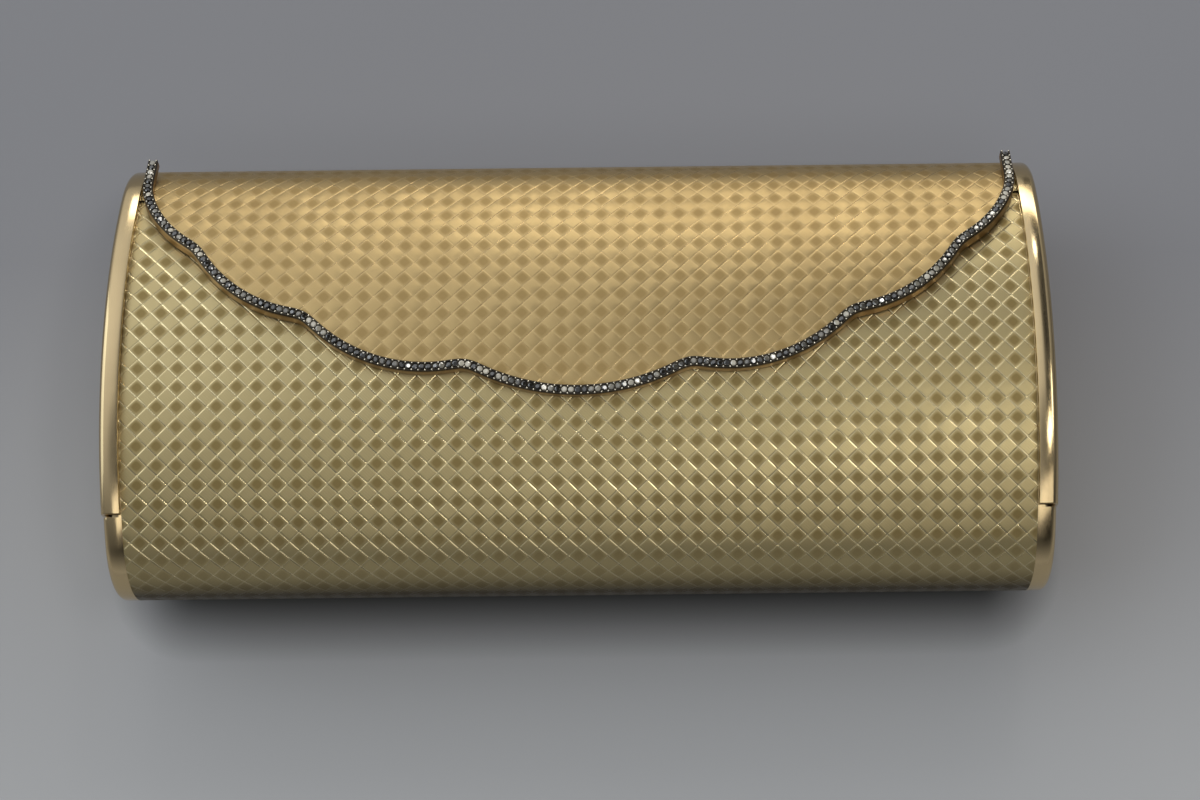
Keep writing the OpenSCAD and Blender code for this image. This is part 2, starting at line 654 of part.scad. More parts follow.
// Six-sided stones, each with a table, a crown and a pavilion
module stone() {
  r = stone_d / 2 / cos(180 / stone_sides);
  ring = [for (i = [0:stone_sides - 1]) let (w = 360 / stone_sides * (i + 0.5)) [cos(w), sin(w)]];
  points = concat(
    [[0, 0, -pavilion_h]], [for (c = ring) [r * c[0], r * c[1], 0]],
    [for (c = ring) [r * table_share * c[0], r * table_share * c[1], crown_h]]
  );
  next = [for (i = [0:stone_sides - 1]) (i + 1) % stone_sides];
  polyhedron(points, concat(
    [for (i = [0:stone_sides - 1]) [0, 1 + i, 1 + next[i]]],
    [for (i = [0:stone_sides - 1]) [1 + i, 1 + stone_sides + i, 1 + stone_sides + next[i], 1 + next[i]]],
    [[for (i = [stone_sides - 1:-1:0]) 1 + stone_sides + i]]
  ));
}
module border_stones() color(stone_grey) placed() for (i = [0:stone_count - 1]) {
  p0 = bent(border_line[i]);
  p1 = bent(border_line[i + 1]);
  up = bent_normal((border_line[i][1] + border_line[i + 1][1]) / 2);
  t = unit(p1 - p0);
  out = unit(cross(t, up));
  mid = (p0 + p1) / 2 + up * girdle_up;
  multmatrix([
    [t[0], -out[0], up[0], mid[0]], [t[1], -out[1], up[1], mid[1]],
    [t[2], -out[2], up[2], mid[2]], [0, 0, 0, 1]
  ]) stone();
}

base_shell();
base_end(-1);  // base_end_left
base_end(1);  // base_end_right
mouth_frame();
base_hinge_leaf();
hinge_pin();
catch_keeper();
case_lining();
divider();
powder_well();
powder_pin();
powder_puff();
lipstick_sleeve();
flap();
lid_end(-1);  // lid_end_left
lid_end(1);  // lid_end_right
lid_hinge_leaf();
lid_lining();
corner_plate(-1);  // corner_plate_left
corner_plate(1);  // corner_plate_right
catch_tongue();
border_channel();
border_stones();
powder_lid();
powder_mirror();
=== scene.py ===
import math
import bmesh
import bpy
import numpy as np
from mathutils import Matrix, Vector
from mathutils.geometry import delaunay_2d_cdt


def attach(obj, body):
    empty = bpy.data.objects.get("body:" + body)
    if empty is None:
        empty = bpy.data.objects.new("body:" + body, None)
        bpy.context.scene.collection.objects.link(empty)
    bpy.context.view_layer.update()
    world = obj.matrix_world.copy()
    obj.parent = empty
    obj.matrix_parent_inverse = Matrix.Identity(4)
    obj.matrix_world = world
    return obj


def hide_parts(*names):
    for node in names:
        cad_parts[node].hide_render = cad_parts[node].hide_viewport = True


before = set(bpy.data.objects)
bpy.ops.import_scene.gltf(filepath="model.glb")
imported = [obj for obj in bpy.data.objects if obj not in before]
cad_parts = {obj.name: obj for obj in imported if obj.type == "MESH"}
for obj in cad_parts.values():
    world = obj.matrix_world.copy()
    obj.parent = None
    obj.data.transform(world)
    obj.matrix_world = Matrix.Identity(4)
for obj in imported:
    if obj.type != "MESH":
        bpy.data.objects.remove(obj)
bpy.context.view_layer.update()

# The section: two four-centre ovals, the base's and the lid's, in millimetres. A place on the
# section is (p, q): p towards the hinged top, q towards the flap. A place on a sheet bent round
# it is (x, s): x along the case, s the length from the middle of the front towards the top.
CASE_TALL, CASE_DEEP, END_R = 79.0, 41.0, 14.2
SHEET, LAP = 1.2, 0.3
STEP = SHEET + LAP
HALF_TALL, HALF_DEEP = CASE_TALL / 2, CASE_DEEP / 2
END_C = HALF_TALL - END_R
FACE_R = (END_C ** 2 + HALF_DEEP ** 2 - END_R ** 2) / (2 * (HALF_DEEP - END_R))
FACE_C = FACE_R - HALF_DEEP
JOIN = math.asin(END_C / (FACE_R - END_R))
MIDDLE, REST = 0.75, HALF_DEEP - 0.3
SHEET_X, WALL_X, CHEEK_X, RIM_X, CORNER_X = 80.0, 81.6, 81.9, 83.4, 75.0
NOTCH, HINGE, SEAM_FOOT = -27.0, (24.2, -16.0586), (-27.0, 11.9234)
MOUTH_BACK, MOUTH_FRONT = (22.0, -16.8514), (31.5, 12.7833)


def quarter_run(grow):
    return (FACE_R + grow) * JOIN + (END_R + grow) * (math.pi / 2 - JOIN)


def face_run(p, grow=0.0):
    """Length along a face from its middle to the height p."""
    return (FACE_R + grow) * math.asin(p / (FACE_R + grow))


CREST = quarter_run(STEP)
FACE_END = (FACE_R + STEP) * JOIN


def wrap(s, grow, out=0.0):
    """Places and outward normals at lengths s round the oval grown by grow, raised by out."""
    face, quarter = (FACE_R + grow) * JOIN, quarter_run(grow)
    s = (s + 2 * quarter) % (4 * quarter) - 2 * quarter
    back = np.abs(s) > quarter
    run = np.where(back, 2 * quarter - np.abs(s), np.abs(s))
    flat = run <= face
    turn = np.where(flat, run / (FACE_R + grow), JOIN + (run - face) / (END_R + grow))
    radius = np.where(flat, FACE_R, END_R) + grow + out
    up, deep = np.where(s < 0, -1.0, 1.0), np.where(back, -1.0, 1.0)
    p = np.where(flat, 0.0, END_C) + radius * np.sin(turn)
    q = np.where(flat, -FACE_C, 0.0) + radius * np.cos(turn)
    return up * p, deep * q, up * np.sin(turn), deep * np.cos(turn)


def placed(x, p, q):
    """Places in metres of points given along the case and on its section."""
    x, p, q = np.broadcast_arrays(x, p, q)
    return np.stack([x, p - MIDDLE, np.maximum(q + REST, 0.0)], axis=-1) / 1000


def bent(x, s, grow, out=0.0):
    """Places in metres of points of a sheet, bent round the oval grown by grow."""
    return placed(x, *wrap(s, grow, out)[:2])


def oval(grow, count):
    """Evenly spaced points of the section's oval, grown by grow."""
    return wrap(np.linspace(0, 4 * quarter_run(grow), count + 1)[:-1], grow)[:2]


def units(rows):
    return rows / np.linalg.norm(rows, axis=1)[:, None]


def area_of(outline):
    """Area inside an outline, above 0 where it runs counterclockwise."""
    x, y = outline.T
    return np.sum(x * np.roll(y, -1) - np.roll(x, -1) * y) / 2


# meshes

def shown(name, data):
    made = bpy.data.objects.new(name, data)
    bpy.context.scene.collection.objects.link(made)
    return made


def smoothed(piece, smooth=True):
    piece.data.polygons.foreach_set("use_smooth", [smooth] * len(piece.data.polygons))
    return piece


def new_piece(name, points, faces, smooth=True):
    mesh = bpy.data.meshes.new(name)
    mesh.from_pydata([tuple(v) for v in points], [], [tuple(int(i) for i in f) for f in faces])
    piece = smoothed(shown(name, mesh), smooth)
    mesh.update()
    return piece


def settled(piece):
    """The piece with its modifiers worked into its mesh."""
    bpy.context.view_layer.update()
    done = bpy.data.meshes.new_from_object(piece.evaluated_get(bpy.context.evaluated_depsgraph_get()))
    done.name = piece.name
    piece.modifiers.clear()
    piece.data = done
    return piece


def outward(piece):
    """Joins doubled points and turns the faces outwards."""
    bm = bmesh.new()
    bm.from_mesh(piece.data)
    bmesh.ops.remove_doubles(bm, verts=bm.verts, dist=1e-7)
    bmesh.ops.recalc_face_normals(bm, faces=bm.faces)
    bm.to_mesh(piece.data)
    bm.free()
    return piece


def creased(piece, degrees=35):
    piece.data.set_sharp_from_angle(angle=math.radians(degrees))
    return piece


def rounded(piece):
    change = piece.modifiers.new("rounded", "SUBSURF")
    change.levels = change.render_levels = 1
    return settled(piece)


def softened(piece, width, degrees=38, segments=2):
    """Rounds the sharp edges over a width in millimetres."""
    edge = piece.modifiers.new("softened", "BEVEL")
    edge.width, edge.segments, edge.limit_method = width / 1000, segments, "ANGLE"
    edge.angle_limit = math.radians(degrees)
    edge.use_clamp_overlap, edge.harden_normals = True, False
    return settled(piece)


def worked(piece, tool, operation):
    """Cuts the piece with a tool, which is used up."""
    change = piece.modifiers.new(operation.lower(), "BOOLEAN")
    change.operation, change.solver, change.object = operation, "EXACT", tool
    settled(piece)
    bpy.data.objects.remove(tool)


def mirrored(piece, name):
    twin = shown(name, piece.data.copy())
    twin.data.name = name
    twin.data.transform(Matrix.Diagonal((-1, 1, 1, 1)))
    twin.data.flip_normals()
    return twin


def tube_faces(rings, n):
    """Faces of a tube through rings of n points each, capped at both ends."""
    caps = [range(n), range(rings * n - 1, (rings - 1) * n - 1, -1)]
    return caps + [(i + k, i + (k + 1) % n, i + n + (k + 1) % n, i + n + k)
                   for i in range(0, (rings - 1) * n, n) for k in range(n)]


def prism(name, outline, x0, x1):
    """A straight solid along the case from an outline on the section."""
    points = [(x, p - MIDDLE, q + REST) for x in (x0, x1) for p, q in outline]
    return outward(new_piece(name, np.array(points) / 1000, tube_faces(2, len(outline)), smooth=False))


def squares(kept):
    """Faces of the kept squares of a grid, whose points are counted row by row."""
    i, j = np.nonzero(kept)
    row = kept.shape[1] + 1
    return (i * row + j)[:, None] + (0, 1, row + 1, row)


def places_of(mesh):
    places = np.empty(len(mesh.vertices) * 3)
    mesh.vertices.foreach_get("co", places)
    return places.reshape(-1, 3)


def fit(piece, body, nodes, material):
    """Gives a finished piece its material, its body and the solids it stands for."""
    piece.data.materials.clear()
    piece.data.materials.append(material)
    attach(piece, body)
    if nodes:
        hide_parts(*nodes)


# nodes

class Value:
    """What a node puts out, to be reckoned with like a number; each step makes a node."""

    def __init__(self, tree, socket):
        self.tree, self.socket = tree, socket

    def by(self, operation, *others):
        return made_by(self.tree, "ShaderNodeMath", enumerate((self, *others)), operation=operation)

    def __add__(self, other):
        return self.by("ADD", other)

    def __sub__(self, other):
        return self.by("SUBTRACT", other)

    def __rsub__(self, other):
        return self * -1.0 + other

    def __mul__(self, other):
        return self.by("MULTIPLY", other)

    def __truediv__(self, other):
        return self.by("DIVIDE", other)

    def __pow__(self, other):
        return self.by("POWER", other)

    def __abs__(self):
        return self.by("ABSOLUTE")


def plug(value, target):
    """Links a value to a socket, or sets it to a number, a vector or a colour."""
    if isinstance(value, Value):
        value.tree.links.new(value.socket, target)
    else:
        target.default_value = (*value, 1.0) if target.type == "RGBA" else value


def made_by(tree, kind, inputs=(), output=0, **settings):
    """What a new node puts out, with its settings, and its inputs by label or number."""
    node = tree.nodes.new(kind)
    for label, setting in settings.items():
        setattr(node, label, setting)
    for key, value in dict(inputs).items():
        plug(value, node.inputs[key])
    return Value(tree, node.outputs[output])


def split(vector):
    node = vector.tree.nodes.new("ShaderNodeSeparateXYZ")
    plug(vector, node.inputs[0])
    return [Value(vector.tree, part) for part in node.outputs]


def ranged(value, low, high, to_low=0.0, to_high=1.0):
    """A value brought to another range and kept inside it."""
    return made_by(value.tree, "ShaderNodeMapRange", enumerate((value, low, high, to_low, to_high)))


def mixed(factor, first, second):
    return made_by(factor.tree, "ShaderNodeMix", {0: factor, 6: first, 7: second}, 2, data_type="RGBA")


def distance_of(a, b):
    return (a ** 2.0 + b ** 2.0).by("SQRT")


def on_object(tree):
    return made_by(tree, "ShaderNodeTexCoord", output="Object")


def noise_of(tree, place, size, **settings):
    inputs = {"Vector": place, "Scale": size, **settings}
    return made_by(tree, "ShaderNodeTexNoise", inputs)


def group_of(name, kind, inputs, outputs):
    """A node group, its given values and its exits; an input has a kind or a first number."""
    tree = bpy.data.node_groups.new(name, kind)
    for side, sockets in (("INPUT", inputs), ("OUTPUT", outputs)):
        for label, what in sockets.items():
            number = {int: "Int", float: "Float"}.get(type(what))
            kind_of = "NodeSocket" + (number or what)
            socket = tree.interface.new_socket(label, in_out=side, socket_type=kind_of)
            if number:
                socket.default_value = what
    given = {socket.name: Value(tree, socket) for socket in tree.nodes.new("NodeGroupInput").outputs}
    return tree, given, tree.nodes.new("NodeGroupOutput").inputs


def grouped(tree, group, place=None, **values):
    """What a group puts out, by label; its place is the one on the object unless given."""
    node = tree.nodes.new("ShaderNodeGroup")
    node.node_tree = group
    plug(place or on_object(tree), node.inputs["Vector"])
    for label, value in values.items():
        plug(value, node.inputs[label.replace("_", " ").capitalize()])
    return {socket.name: Value(tree, socket) for socket in node.outputs}


def painted(geometry, material, exit_):
    """Ends a geometry tree: instances are made real and take the material."""
    real = made_by(geometry.tree, "GeometryNodeRealizeInstances", {0: geometry})
    plug(made_by(real.tree, "GeometryNodeSetMaterial", {"Geometry": real, "Material": material}), exit_)


def run_through(base, tree, **values):
    """Works a geometry tree into the base, with its inputs set by their labels."""
    change = base.modifiers.new(tree.name, "NODES")
    change.node_group = tree
    for item in tree.interface.items_tree:
        label = item.name.replace(" ", "_").lower()
        if item.in_out == "INPUT" and label in values:
            change[item.identifier] = values[label]
    settled(base)


# engraved sheets

CELL_X, CELL_S = 3.49, 3.417
GROOVE_SHARE, GROOVE, CROWN, SUNK = 0.075, 0.05, 0.02, 0.02
CUTS = np.array([-0.5, -0.5 + GROOVE_SHARE, 0.0, 0.5 - GROOVE_SHARE])
FREE_RIM, UNDER_X, UNDER_S, UNDER_RIM = 0.18, 18, 1.8, 0.5


def lozenge_cells(u, v):
    """1 on a ribbon or 0 in a sunk cell, and how far off its middle on both slants."""
    rising, falling = u + v, u - v
    cell_r, cell_f = rising.by("ROUND"), falling.by("ROUND")
    return (cell_r + cell_f).by("FLOORED_MODULO", 2.0), rising - cell_r, falling - cell_f


def engraving_tree():
    """Presses lozenges into a flat sheet: crowned ribbons, sunk cells, a cut on every edge."""
    tree, given, made = group_of("lozenge_engraving", "GeometryNodeTree", {
        "Sheet": "Geometry", "Material": "Material", "Cell width": CELL_X, "Cell height": CELL_S,
        "Groove share": GROOVE_SHARE, "Groove depth": GROOVE, "Crown": CROWN, "Sunk": SUNK,
        "Start across": 0.0, "Start along": 0.0}, {"Sheet": "Geometry"})
    x, s, _ = split(made_by(tree, "GeometryNodeInputPosition"))
    ribbon, off_r, off_f = lozenge_cells((x - given["Start across"]) / given["Cell width"],
                                         (s - given["Start along"]) / given["Cell height"])
    to_edge = 0.5 - abs(off_r).by("MAXIMUM", abs(off_f))
    groove = 1.0 - (to_edge / given["Groove share"]).by("MINIMUM", 1.0)
    bow = (off_r * off_r + off_f * off_f) * ribbon * (given["Crown"] * 4.0)
    down = bow + (1.0 - ribbon) * given["Sunk"] + groove * given["Groove depth"]
    lift = made_by(tree, "ShaderNodeCombineXYZ", {2: down * -1.0})
    pressed = made_by(tree, "GeometryNodeSetPosition", {"Geometry": given["Sheet"], "Offset": lift})
    painted(pressed, given["Material"], made["Sheet"])
    return tree


def inside(points, outline):
    """Which points lie inside a closed outline, and how far each is from it."""
    hit, near = np.zeros(len(points), bool), np.full(len(points), 1e9)
    for (x0, y0), (x1, y1) in zip(outline, np.roll(outline, -1, axis=0)):
        if y0 != y1:
            crosses = (y0 > points[:, 1]) != (y1 > points[:, 1])
            hit ^= crosses & (points[:, 0] < (x1 - x0) * (points[:, 1] - y0) / (y1 - y0) + x0)
        d = np.array([x1 - x0, y1 - y0])
        t = np.clip(((points - (x0, y0)) @ d) / max(d @ d, 1e-12), 0, 1)
        near = np.minimum(near, np.hypot(*(points - (x0, y0) - t[:, None] * d).T))
    return hit, near


def filled(points, edges, outline):
    """Triangles between points that keep to the edges and inside the outline."""
    found = delaunay_2d_cdt([Vector(p) for p in points], [(int(a), int(b)) for a, b in edges], [], 0, 1e-6)
    first = {k: own[0] for k, own in enumerate(found[3]) if own}
    tri = np.array([[first[v] for v in face] for face in found[2] if all(v in first for v in face)])
    return tri[inside(points[tri].mean(1), outline)[0]]


def looped(n):
    return [(k, (k + 1) % n) for k in range(n)]


def slanting(points, start):
    """The two slanting cell coordinates of places on a sheet."""
    u, v = ((points - start) / (CELL_X, CELL_S)).T
    return u + v, u - v


def lozenge_mesh(outline, start):
    """Points and faces of a flat sheet that follow the lozenges, out to the outline."""
    low, high, n = outline.min(0), outline.max(0), len(outline)
    corners = np.array([(x, s) for x in (low[0], high[0]) for s in (low[1], high[1])])
    axes = [np.concatenate([k + CUTS for k in range(math.floor(a.min()) - 1, math.ceil(a.max()) + 2)])
            for a in slanting(corners, start)]
    r, f = np.meshgrid(*axes, indexing="ij")
    flat = np.stack([(r + f) / 2 * CELL_X + start[0], (r - f) / 2 * CELL_S + start[1]], -1).reshape(-1, 2)
    within = np.nonzero(np.all((flat > low) & (flat < high), axis=1))[0]
    hit, near = inside(flat[within], outline)
    ok = np.zeros(r.size, bool)
    ok[within[hit & (near > FREE_RIM)]] = True
    ok = ok.reshape(r.shape)
    cell = ok[:-1, :-1] & ok[1:, :-1] & ok[:-1, 1:] & ok[1:, 1:]
    quads = squares(cell)
    edges = np.sort(np.concatenate([quads[:, [k, (k + 1) % 4]] for k in range(4)]), axis=1)
    single, count = np.unique(edges, axis=0, return_counts=True)
    rim = single[count == 1]
    used, ring = np.unique(quads), np.unique(rim)
    number, ring_number = np.full(r.size, -1), np.full(r.size, -1)
    number[used], ring_number[ring] = np.arange(len(used)) + n, np.arange(len(ring)) + n
    tri = filled(np.concatenate([outline, flat[ring]]), looped(n) + ring_number[rim].tolist(), outline)
    tri = np.concatenate([np.arange(n), number[ring]])[tri]
    points = np.concatenate([outline, flat[used]])
    ci, cj = (np.clip(np.searchsorted(axis, at) - 1, 0, size - 1)
              for axis, at, size in zip(axes, slanting(points[tri].mean(1), start), cell.shape))
    return points, number[quads].tolist() + tri[~cell[ci, cj]].tolist()


def patterned_sheet(name, outline, start, grow, body, node, material, groove=GROOVE):
    """Fits a bent sheet, engraved on its outer side and plain on its inner side."""
    outline = np.asarray(outline, float)
    points, faces = lozenge_mesh(outline, start)
    flat = new_piece(name + "_flat", np.column_stack([points, np.zeros(len(points))]), faces)
    run_through(flat, ENGRAVING, start_across=start[0], start_along=start[1], groove_depth=groove,
                material=material)
    pressed = places_of(flat.data)
    bpy.data.objects.remove(flat)
    n, base, low, high = len(outline), len(pressed), outline.min(0), outline.max(0)
    grid = np.array([(x, s) for x in np.linspace(low[0], high[0], UNDER_X)[1:-1]
                     for s in np.arange(low[1] + UNDER_S / 2, high[1], UNDER_S)])
    hit, near = inside(grid, outline)
    plain = np.concatenate([outline, grid[hit & (near > UNDER_RIM)]])
    under = (filled(plain, looped(n), outline)[:, ::-1] + base).tolist()
    walls = [(k, base + k, base + m, m)[::1 if area_of(outline) > 0 else -1] for k, m in looped(n)]
    places = np.concatenate([bent(pressed[:, 0], pressed[:, 1], grow, pressed[:, 2]),
                             bent(plain[:, 0], plain[:, 1], grow, -SHEET)])
    sheet = new_piece(name, places, faces + under + walls)
    cells = (np.concatenate([pressed[:, :2], plain]) - start) / (CELL_X, CELL_S)
    cells = cells[np.concatenate(faces + under + walls)].ravel()
    sheet.data.uv_layers.new(name="engraving").data.foreach_set("uv", cells.astype(np.float32))
    side = np.repeat((1.0, 0.0), (len(faces), len(under) + len(walls)))
    mark = sheet.data.attributes.new("engraved_side", "FLOAT", "FACE")
    mark.data.foreach_set("value", side.astype(np.float32))
    fit(creased(sheet, 10), body, [node], material)


# the scalloped line of the border

CUSP_X, CUSP_DROP = (0.249, 0.613, 0.864, 1.0), (0.914, 0.76, 0.532, 0.293)
BULGE = (0.131, 0.14, 0.125, 0.107)
BORDER_X, FLAP_DROP, PRONG, PITCH, SKIRT = 78.45, 57.9, 7.5, 1.16, 1.1


def steps_in(length):
    return int(math.floor(length / PITCH + 0.5))


def lobe(start, end, bulge):
    """Points of one scallop from after its start to its end."""
    start, end = np.array(start), np.array(end)
    chord = np.linalg.norm(end - start)
    u = (end - start) / chord
    rise = bulge * chord
    radius = (chord ** 2 / 4 + rise ** 2) / (2 * rise)
    half = math.asin(chord / 2 / radius)
    count = steps_in(2 * half * radius)
    t = half * (2 * np.arange(1, count + 1) / count - 1)
    out = radius * np.cos(t) - radius + rise
    return start + np.outer(chord / 2 + radius * np.sin(t), u) + np.outer(out, (u[1], -u[0]))


def scalloped_line():
    """The border laid flat, from the end of one straight run to the other."""
    cusps = [(BORDER_X * x, CREST - FLAP_DROP * d) for x, d in zip(CUSP_X, CUSP_DROP)]
    up = FACE_END + PRONG - cusps[3][1]
    count = steps_in(up)
    run = np.array([(cusps[3][0], cusps[3][1] + up * k / count) for k in range(1, count + 1)])
    half = np.concatenate([lobe(cusps[k], cusps[k + 1], BULGE[k + 1]) for k in range(3)] + [run])
    left = (-cusps[0][0], cusps[0][1])
    line = np.concatenate([half[::-1] * (-1, 1), [left], lobe(left, cusps[0], BULGE[0]), half])
    for _ in range(3):
        line[1:-1] = (line[:-2] + 2 * line[1:-1] + line[2:]) / 4
    return line


def border_bent(s):
    """Place and normal of the border at a length s: round the face, then straight on."""
    radius = FACE_R + STEP
    turn, on = np.minimum(s, FACE_END) / radius, np.maximum(0.0, s - FACE_END)
    return (radius * np.sin(turn) + on * np.cos(turn), radius * np.cos(turn) - FACE_C - on * np.sin(turn),
            np.sin(turn), np.cos(turn))


def border_frames(line):
    """Place in millimetres, direction along, direction out and normal, for each point."""
    p, q, normal_p, normal_q = border_bent(line[:, 1])
    place = placed(line[:, 0], p, q) * 1000
    up = np.column_stack([np.zeros(len(line)), normal_p, normal_q])
    ahead = units(np.vstack([place[1] - place[0], place[2:] - place[:-2], place[-1] - place[-2]]))
    return place, ahead, units(np.cross(ahead, up)), up


def swept_strip(name, section, line):
    """A closed strip along the line, mitred, with a section of (out, up) points."""
    place, ahead, out, up = border_frames(line)
    step = np.diff(place, axis=0)
    step = units(np.vstack([step, step[-1]]))
    widen = 1 / np.maximum(0.5, np.sqrt((1 + np.sum(step * ahead, axis=1)) / 2))
    section = np.asarray(section, float)
    rings = (place[:, None] + out[:, None] * section[None, :, :1] * widen[:, None, None]
             + up[:, None] * section[None, :, 1:])
    return outward(new_piece(name, rings.reshape(-1, 3) / 1000, tube_faces(len(line), len(section))))


def finer(line, parts):
    """The line with its steps divided, on a smooth curve."""
    points = np.vstack([2 * line[0] - line[1], line, 2 * line[-1] - line[-2]])
    a, b, c, d = (points[k:k + len(line) - 1, None] for k in range(4))
    t = (np.arange(parts) / parts)[:, None]
    square, cube = 2 * a - 5 * b + 4 * c - d, 3 * b - a - 3 * c + d
    made = 0.5 * (2 * b + (c - a) * t + square * t ** 2 + cube * t ** 3)
    return np.vstack([made.reshape(-1, 2), line[-1]])


BORDER = scalloped_line()


# small pieces that repeat

def seating_tree():
    """Seats a small piece at every point, turned by its own directions, with a little play."""
    tree, given, made = group_of("seat_on_points", "GeometryNodeTree", {
        "Seats": "Geometry", "Piece": "Object", "Material": "Material", "Size": 1.0, "Play": 0.0,
        "Spin": 0.0, "Seed": 7}, {"Pieces": "Geometry"})
    up, along = (made_by(tree, "GeometryNodeInputNamedAttribute", {"Name": label}, "Attribute",
                         data_type="FLOAT_VECTOR") for label in ("seat_up", "seat_along"))
    axes = made_by(tree, "FunctionNodeAxesToRotation", {0: up, 1: along},
                   primary_axis="Z", secondary_axis="X")
    span = made_by(tree, "ShaderNodeCombineXYZ", enumerate((given["Play"], given["Play"], given["Spin"])))
    less = made_by(tree, "ShaderNodeVectorMath", {0: span, "Scale": -1}, operation="SCALE")
    loose = made_by(tree, "FunctionNodeRandomValue", {"Min": less, "Max": span, "Seed": given["Seed"]},
                    data_type="FLOAT_VECTOR")
    wobble = made_by(tree, "FunctionNodeEulerToRotation", {0: loose})
    turned = made_by(tree, "FunctionNodeRotateRotation", {0: axes, 1: wobble}, rotation_space="LOCAL")
    shape = made_by(tree, "GeometryNodeObjectInfo", {"Object": given["Piece"]}, "Geometry")
    put = made_by(tree, "GeometryNodeInstanceOnPoints", {
        "Points": given["Seats"], "Instance": shape, "Rotation": turned, "Scale": given["Size"]})
    # a random tone for each piece; the stones' material turns it into painted glints and dark reflections
    tone = made_by(tree, "FunctionNodeRandomValue", {"Seed": given["Seed"] + 1.0}, 1, data_type="FLOAT")
    kept = made_by(tree, "GeometryNodeStoreNamedAttribute", {
        "Name": "own_tone", "Geometry": put, "Value": tone}, data_type="FLOAT", domain="INSTANCE")
    painted(kept, given["Material"], made["Pieces"])
    return tree


def seated(name, places, ups, alongs, piece, material, **values):
    """One plain mesh of a small piece set at every place, in metres."""
    seats = new_piece(name, places, [])
    for label, rows in (("seat_up", ups), ("seat_along", alongs)):
        own = seats.data.attributes.new(label, "FLOAT_VECTOR", "POINT")
        own.data.foreach_set("vector", np.asarray(rows, np.float32).ravel())
    run_through(seats, SEATING, piece=piece, material=material, **values)
    bpy.data.objects.remove(piece)
    return seats


def cut_stone(across):
    """A small single-cut stone: table, crown, girdle and pavilion, eight sides each."""
    n, levels = 8, ((0.60, 0.17), (0.985, 0.03), (0.985, -0.02))
    turn = 2 * math.pi * (np.arange(n) + 0.5) / n
    points = [(across / 2 * size * math.cos(t), across / 2 * size * math.sin(t), up)
              for size, up in levels for t in turn] + [(0, 0, -0.27)]
    faces = [range(n)]
    for k, m in looped(n):
        faces += [(k, n + k, n + m, m), (n + k, 2 * n + k, 2 * n + m, n + m), (2 * n + k, 3 * n, 2 * n + m)]
    return outward(new_piece("cut_stone", np.array(points) / 1000, faces, smooth=False))


def bead(radius):
    made = new_piece("bead", [], [])
    bm = bmesh.new()
    bmesh.ops.create_icosphere(bm, subdivisions=1, radius=radius / 1000)
    bm.to_mesh(made.data)
    bm.free()
    return smoothed(made)


def thread():
    """One short stitch, a little bowed, with its ends going into the suede."""
    half, radius, bow, rings, n = 0.62, 0.14, 0.12, 5, 6
    points = [(half * t, radius * math.cos(w), radius * math.sin(w) - bow * t * t)
              for t in np.linspace(-1, 1, rings) for w in 2 * math.pi * np.arange(n) / n]
    return outward(new_piece("thread", np.array(points) / 1000, tube_faces(rings, n)))


# polished ends

RING_POINTS, EDGE_ROLL, INNER_GROW = 320, 1.1, -12.0
DOME_RINGS, DOME_RISE, DOME_WIDE = 7, 0.6, 1.25
SEAM_GAP, TOOL_X, FAR, ABOVE = 0.15, (70, 90), 150, 120


def lofted_end(name, rings):
    """A closed solid through ovals, each with its place along the case and its growth."""
    points = np.concatenate([placed(x, *oval(grow, RING_POINTS)) for x, grow in rings])
    return outward(new_piece(name, points, tube_faces(len(rings), RING_POINTS)))


def rolled_edge(grow):
    """The rolled edge of an end and the low dome inside it."""
    roll = [(RIM_X - EDGE_ROLL * (1 - math.sin(t)), grow - EDGE_ROLL * (1 - math.cos(t)))
            for t in np.linspace(0, math.pi / 2, 8)]
    start, deep = grow - EDGE_ROLL, HALF_DEEP * 0.5 - STEP + grow
    return roll + [(RIM_X + DOME_RISE * (1 - (1 - t) ** 2), start - deep * t * DOME_WIDE)
                   for t in np.linspace(0, 1, DOME_RINGS + 1)[1:]]


def lid_side(shift):
    """Outline of the lid's side of the seam, moved off the seam by shift."""
    along = np.subtract(HINGE, SEAM_FOOT)
    along = along / np.linalg.norm(along)
    start, low = np.array(SEAM_FOOT) + np.array([-along[1], along[0]]) * shift, NOTCH + shift
    foot, far = start + along * ((low - start[0]) / along[0]), start + along * FAR
    return [(low, foot[1]), tuple(far), (far[0] + FAR, far[1]), (far[0] + FAR, ABOVE), (low, ABOVE)]


def lid_cheek():
    inner = [(CHEEK_X, INNER_GROW), (CHEEK_X, LAP), (SHEET_X, LAP), (SHEET_X, STEP)]
    cheek = lofted_end("lid_end_right_polished", inner + rolled_edge(STEP))
    worked(cheek, prism("seam_tool", lid_side(SEAM_GAP), *TOOL_X), "INTERSECT")
    return creased(softened(outward(cheek), 0.25))


def base_cheek():
    cheek = lofted_end("base_end_right_polished", [(SHEET_X, INNER_GROW), (SHEET_X, 0.0)] + rolled_edge(0.0))
    worked(cheek, prism("lid_room", lid_side(-SEAM_GAP), WALL_X, TOOL_X[1]), "DIFFERENCE")
    along = np.subtract(MOUTH_FRONT, MOUTH_BACK)
    start, end = np.array(MOUTH_BACK) - along * 3, np.array(MOUTH_BACK) + along * 4
    above = [tuple(start), tuple(end), (200, end[1]), (200, start[1])]
    worked(cheek, prism("mouth_tool", above, *TOOL_X), "DIFFERENCE")
    return creased(softened(outward(cheek), 0.1))


# finishes

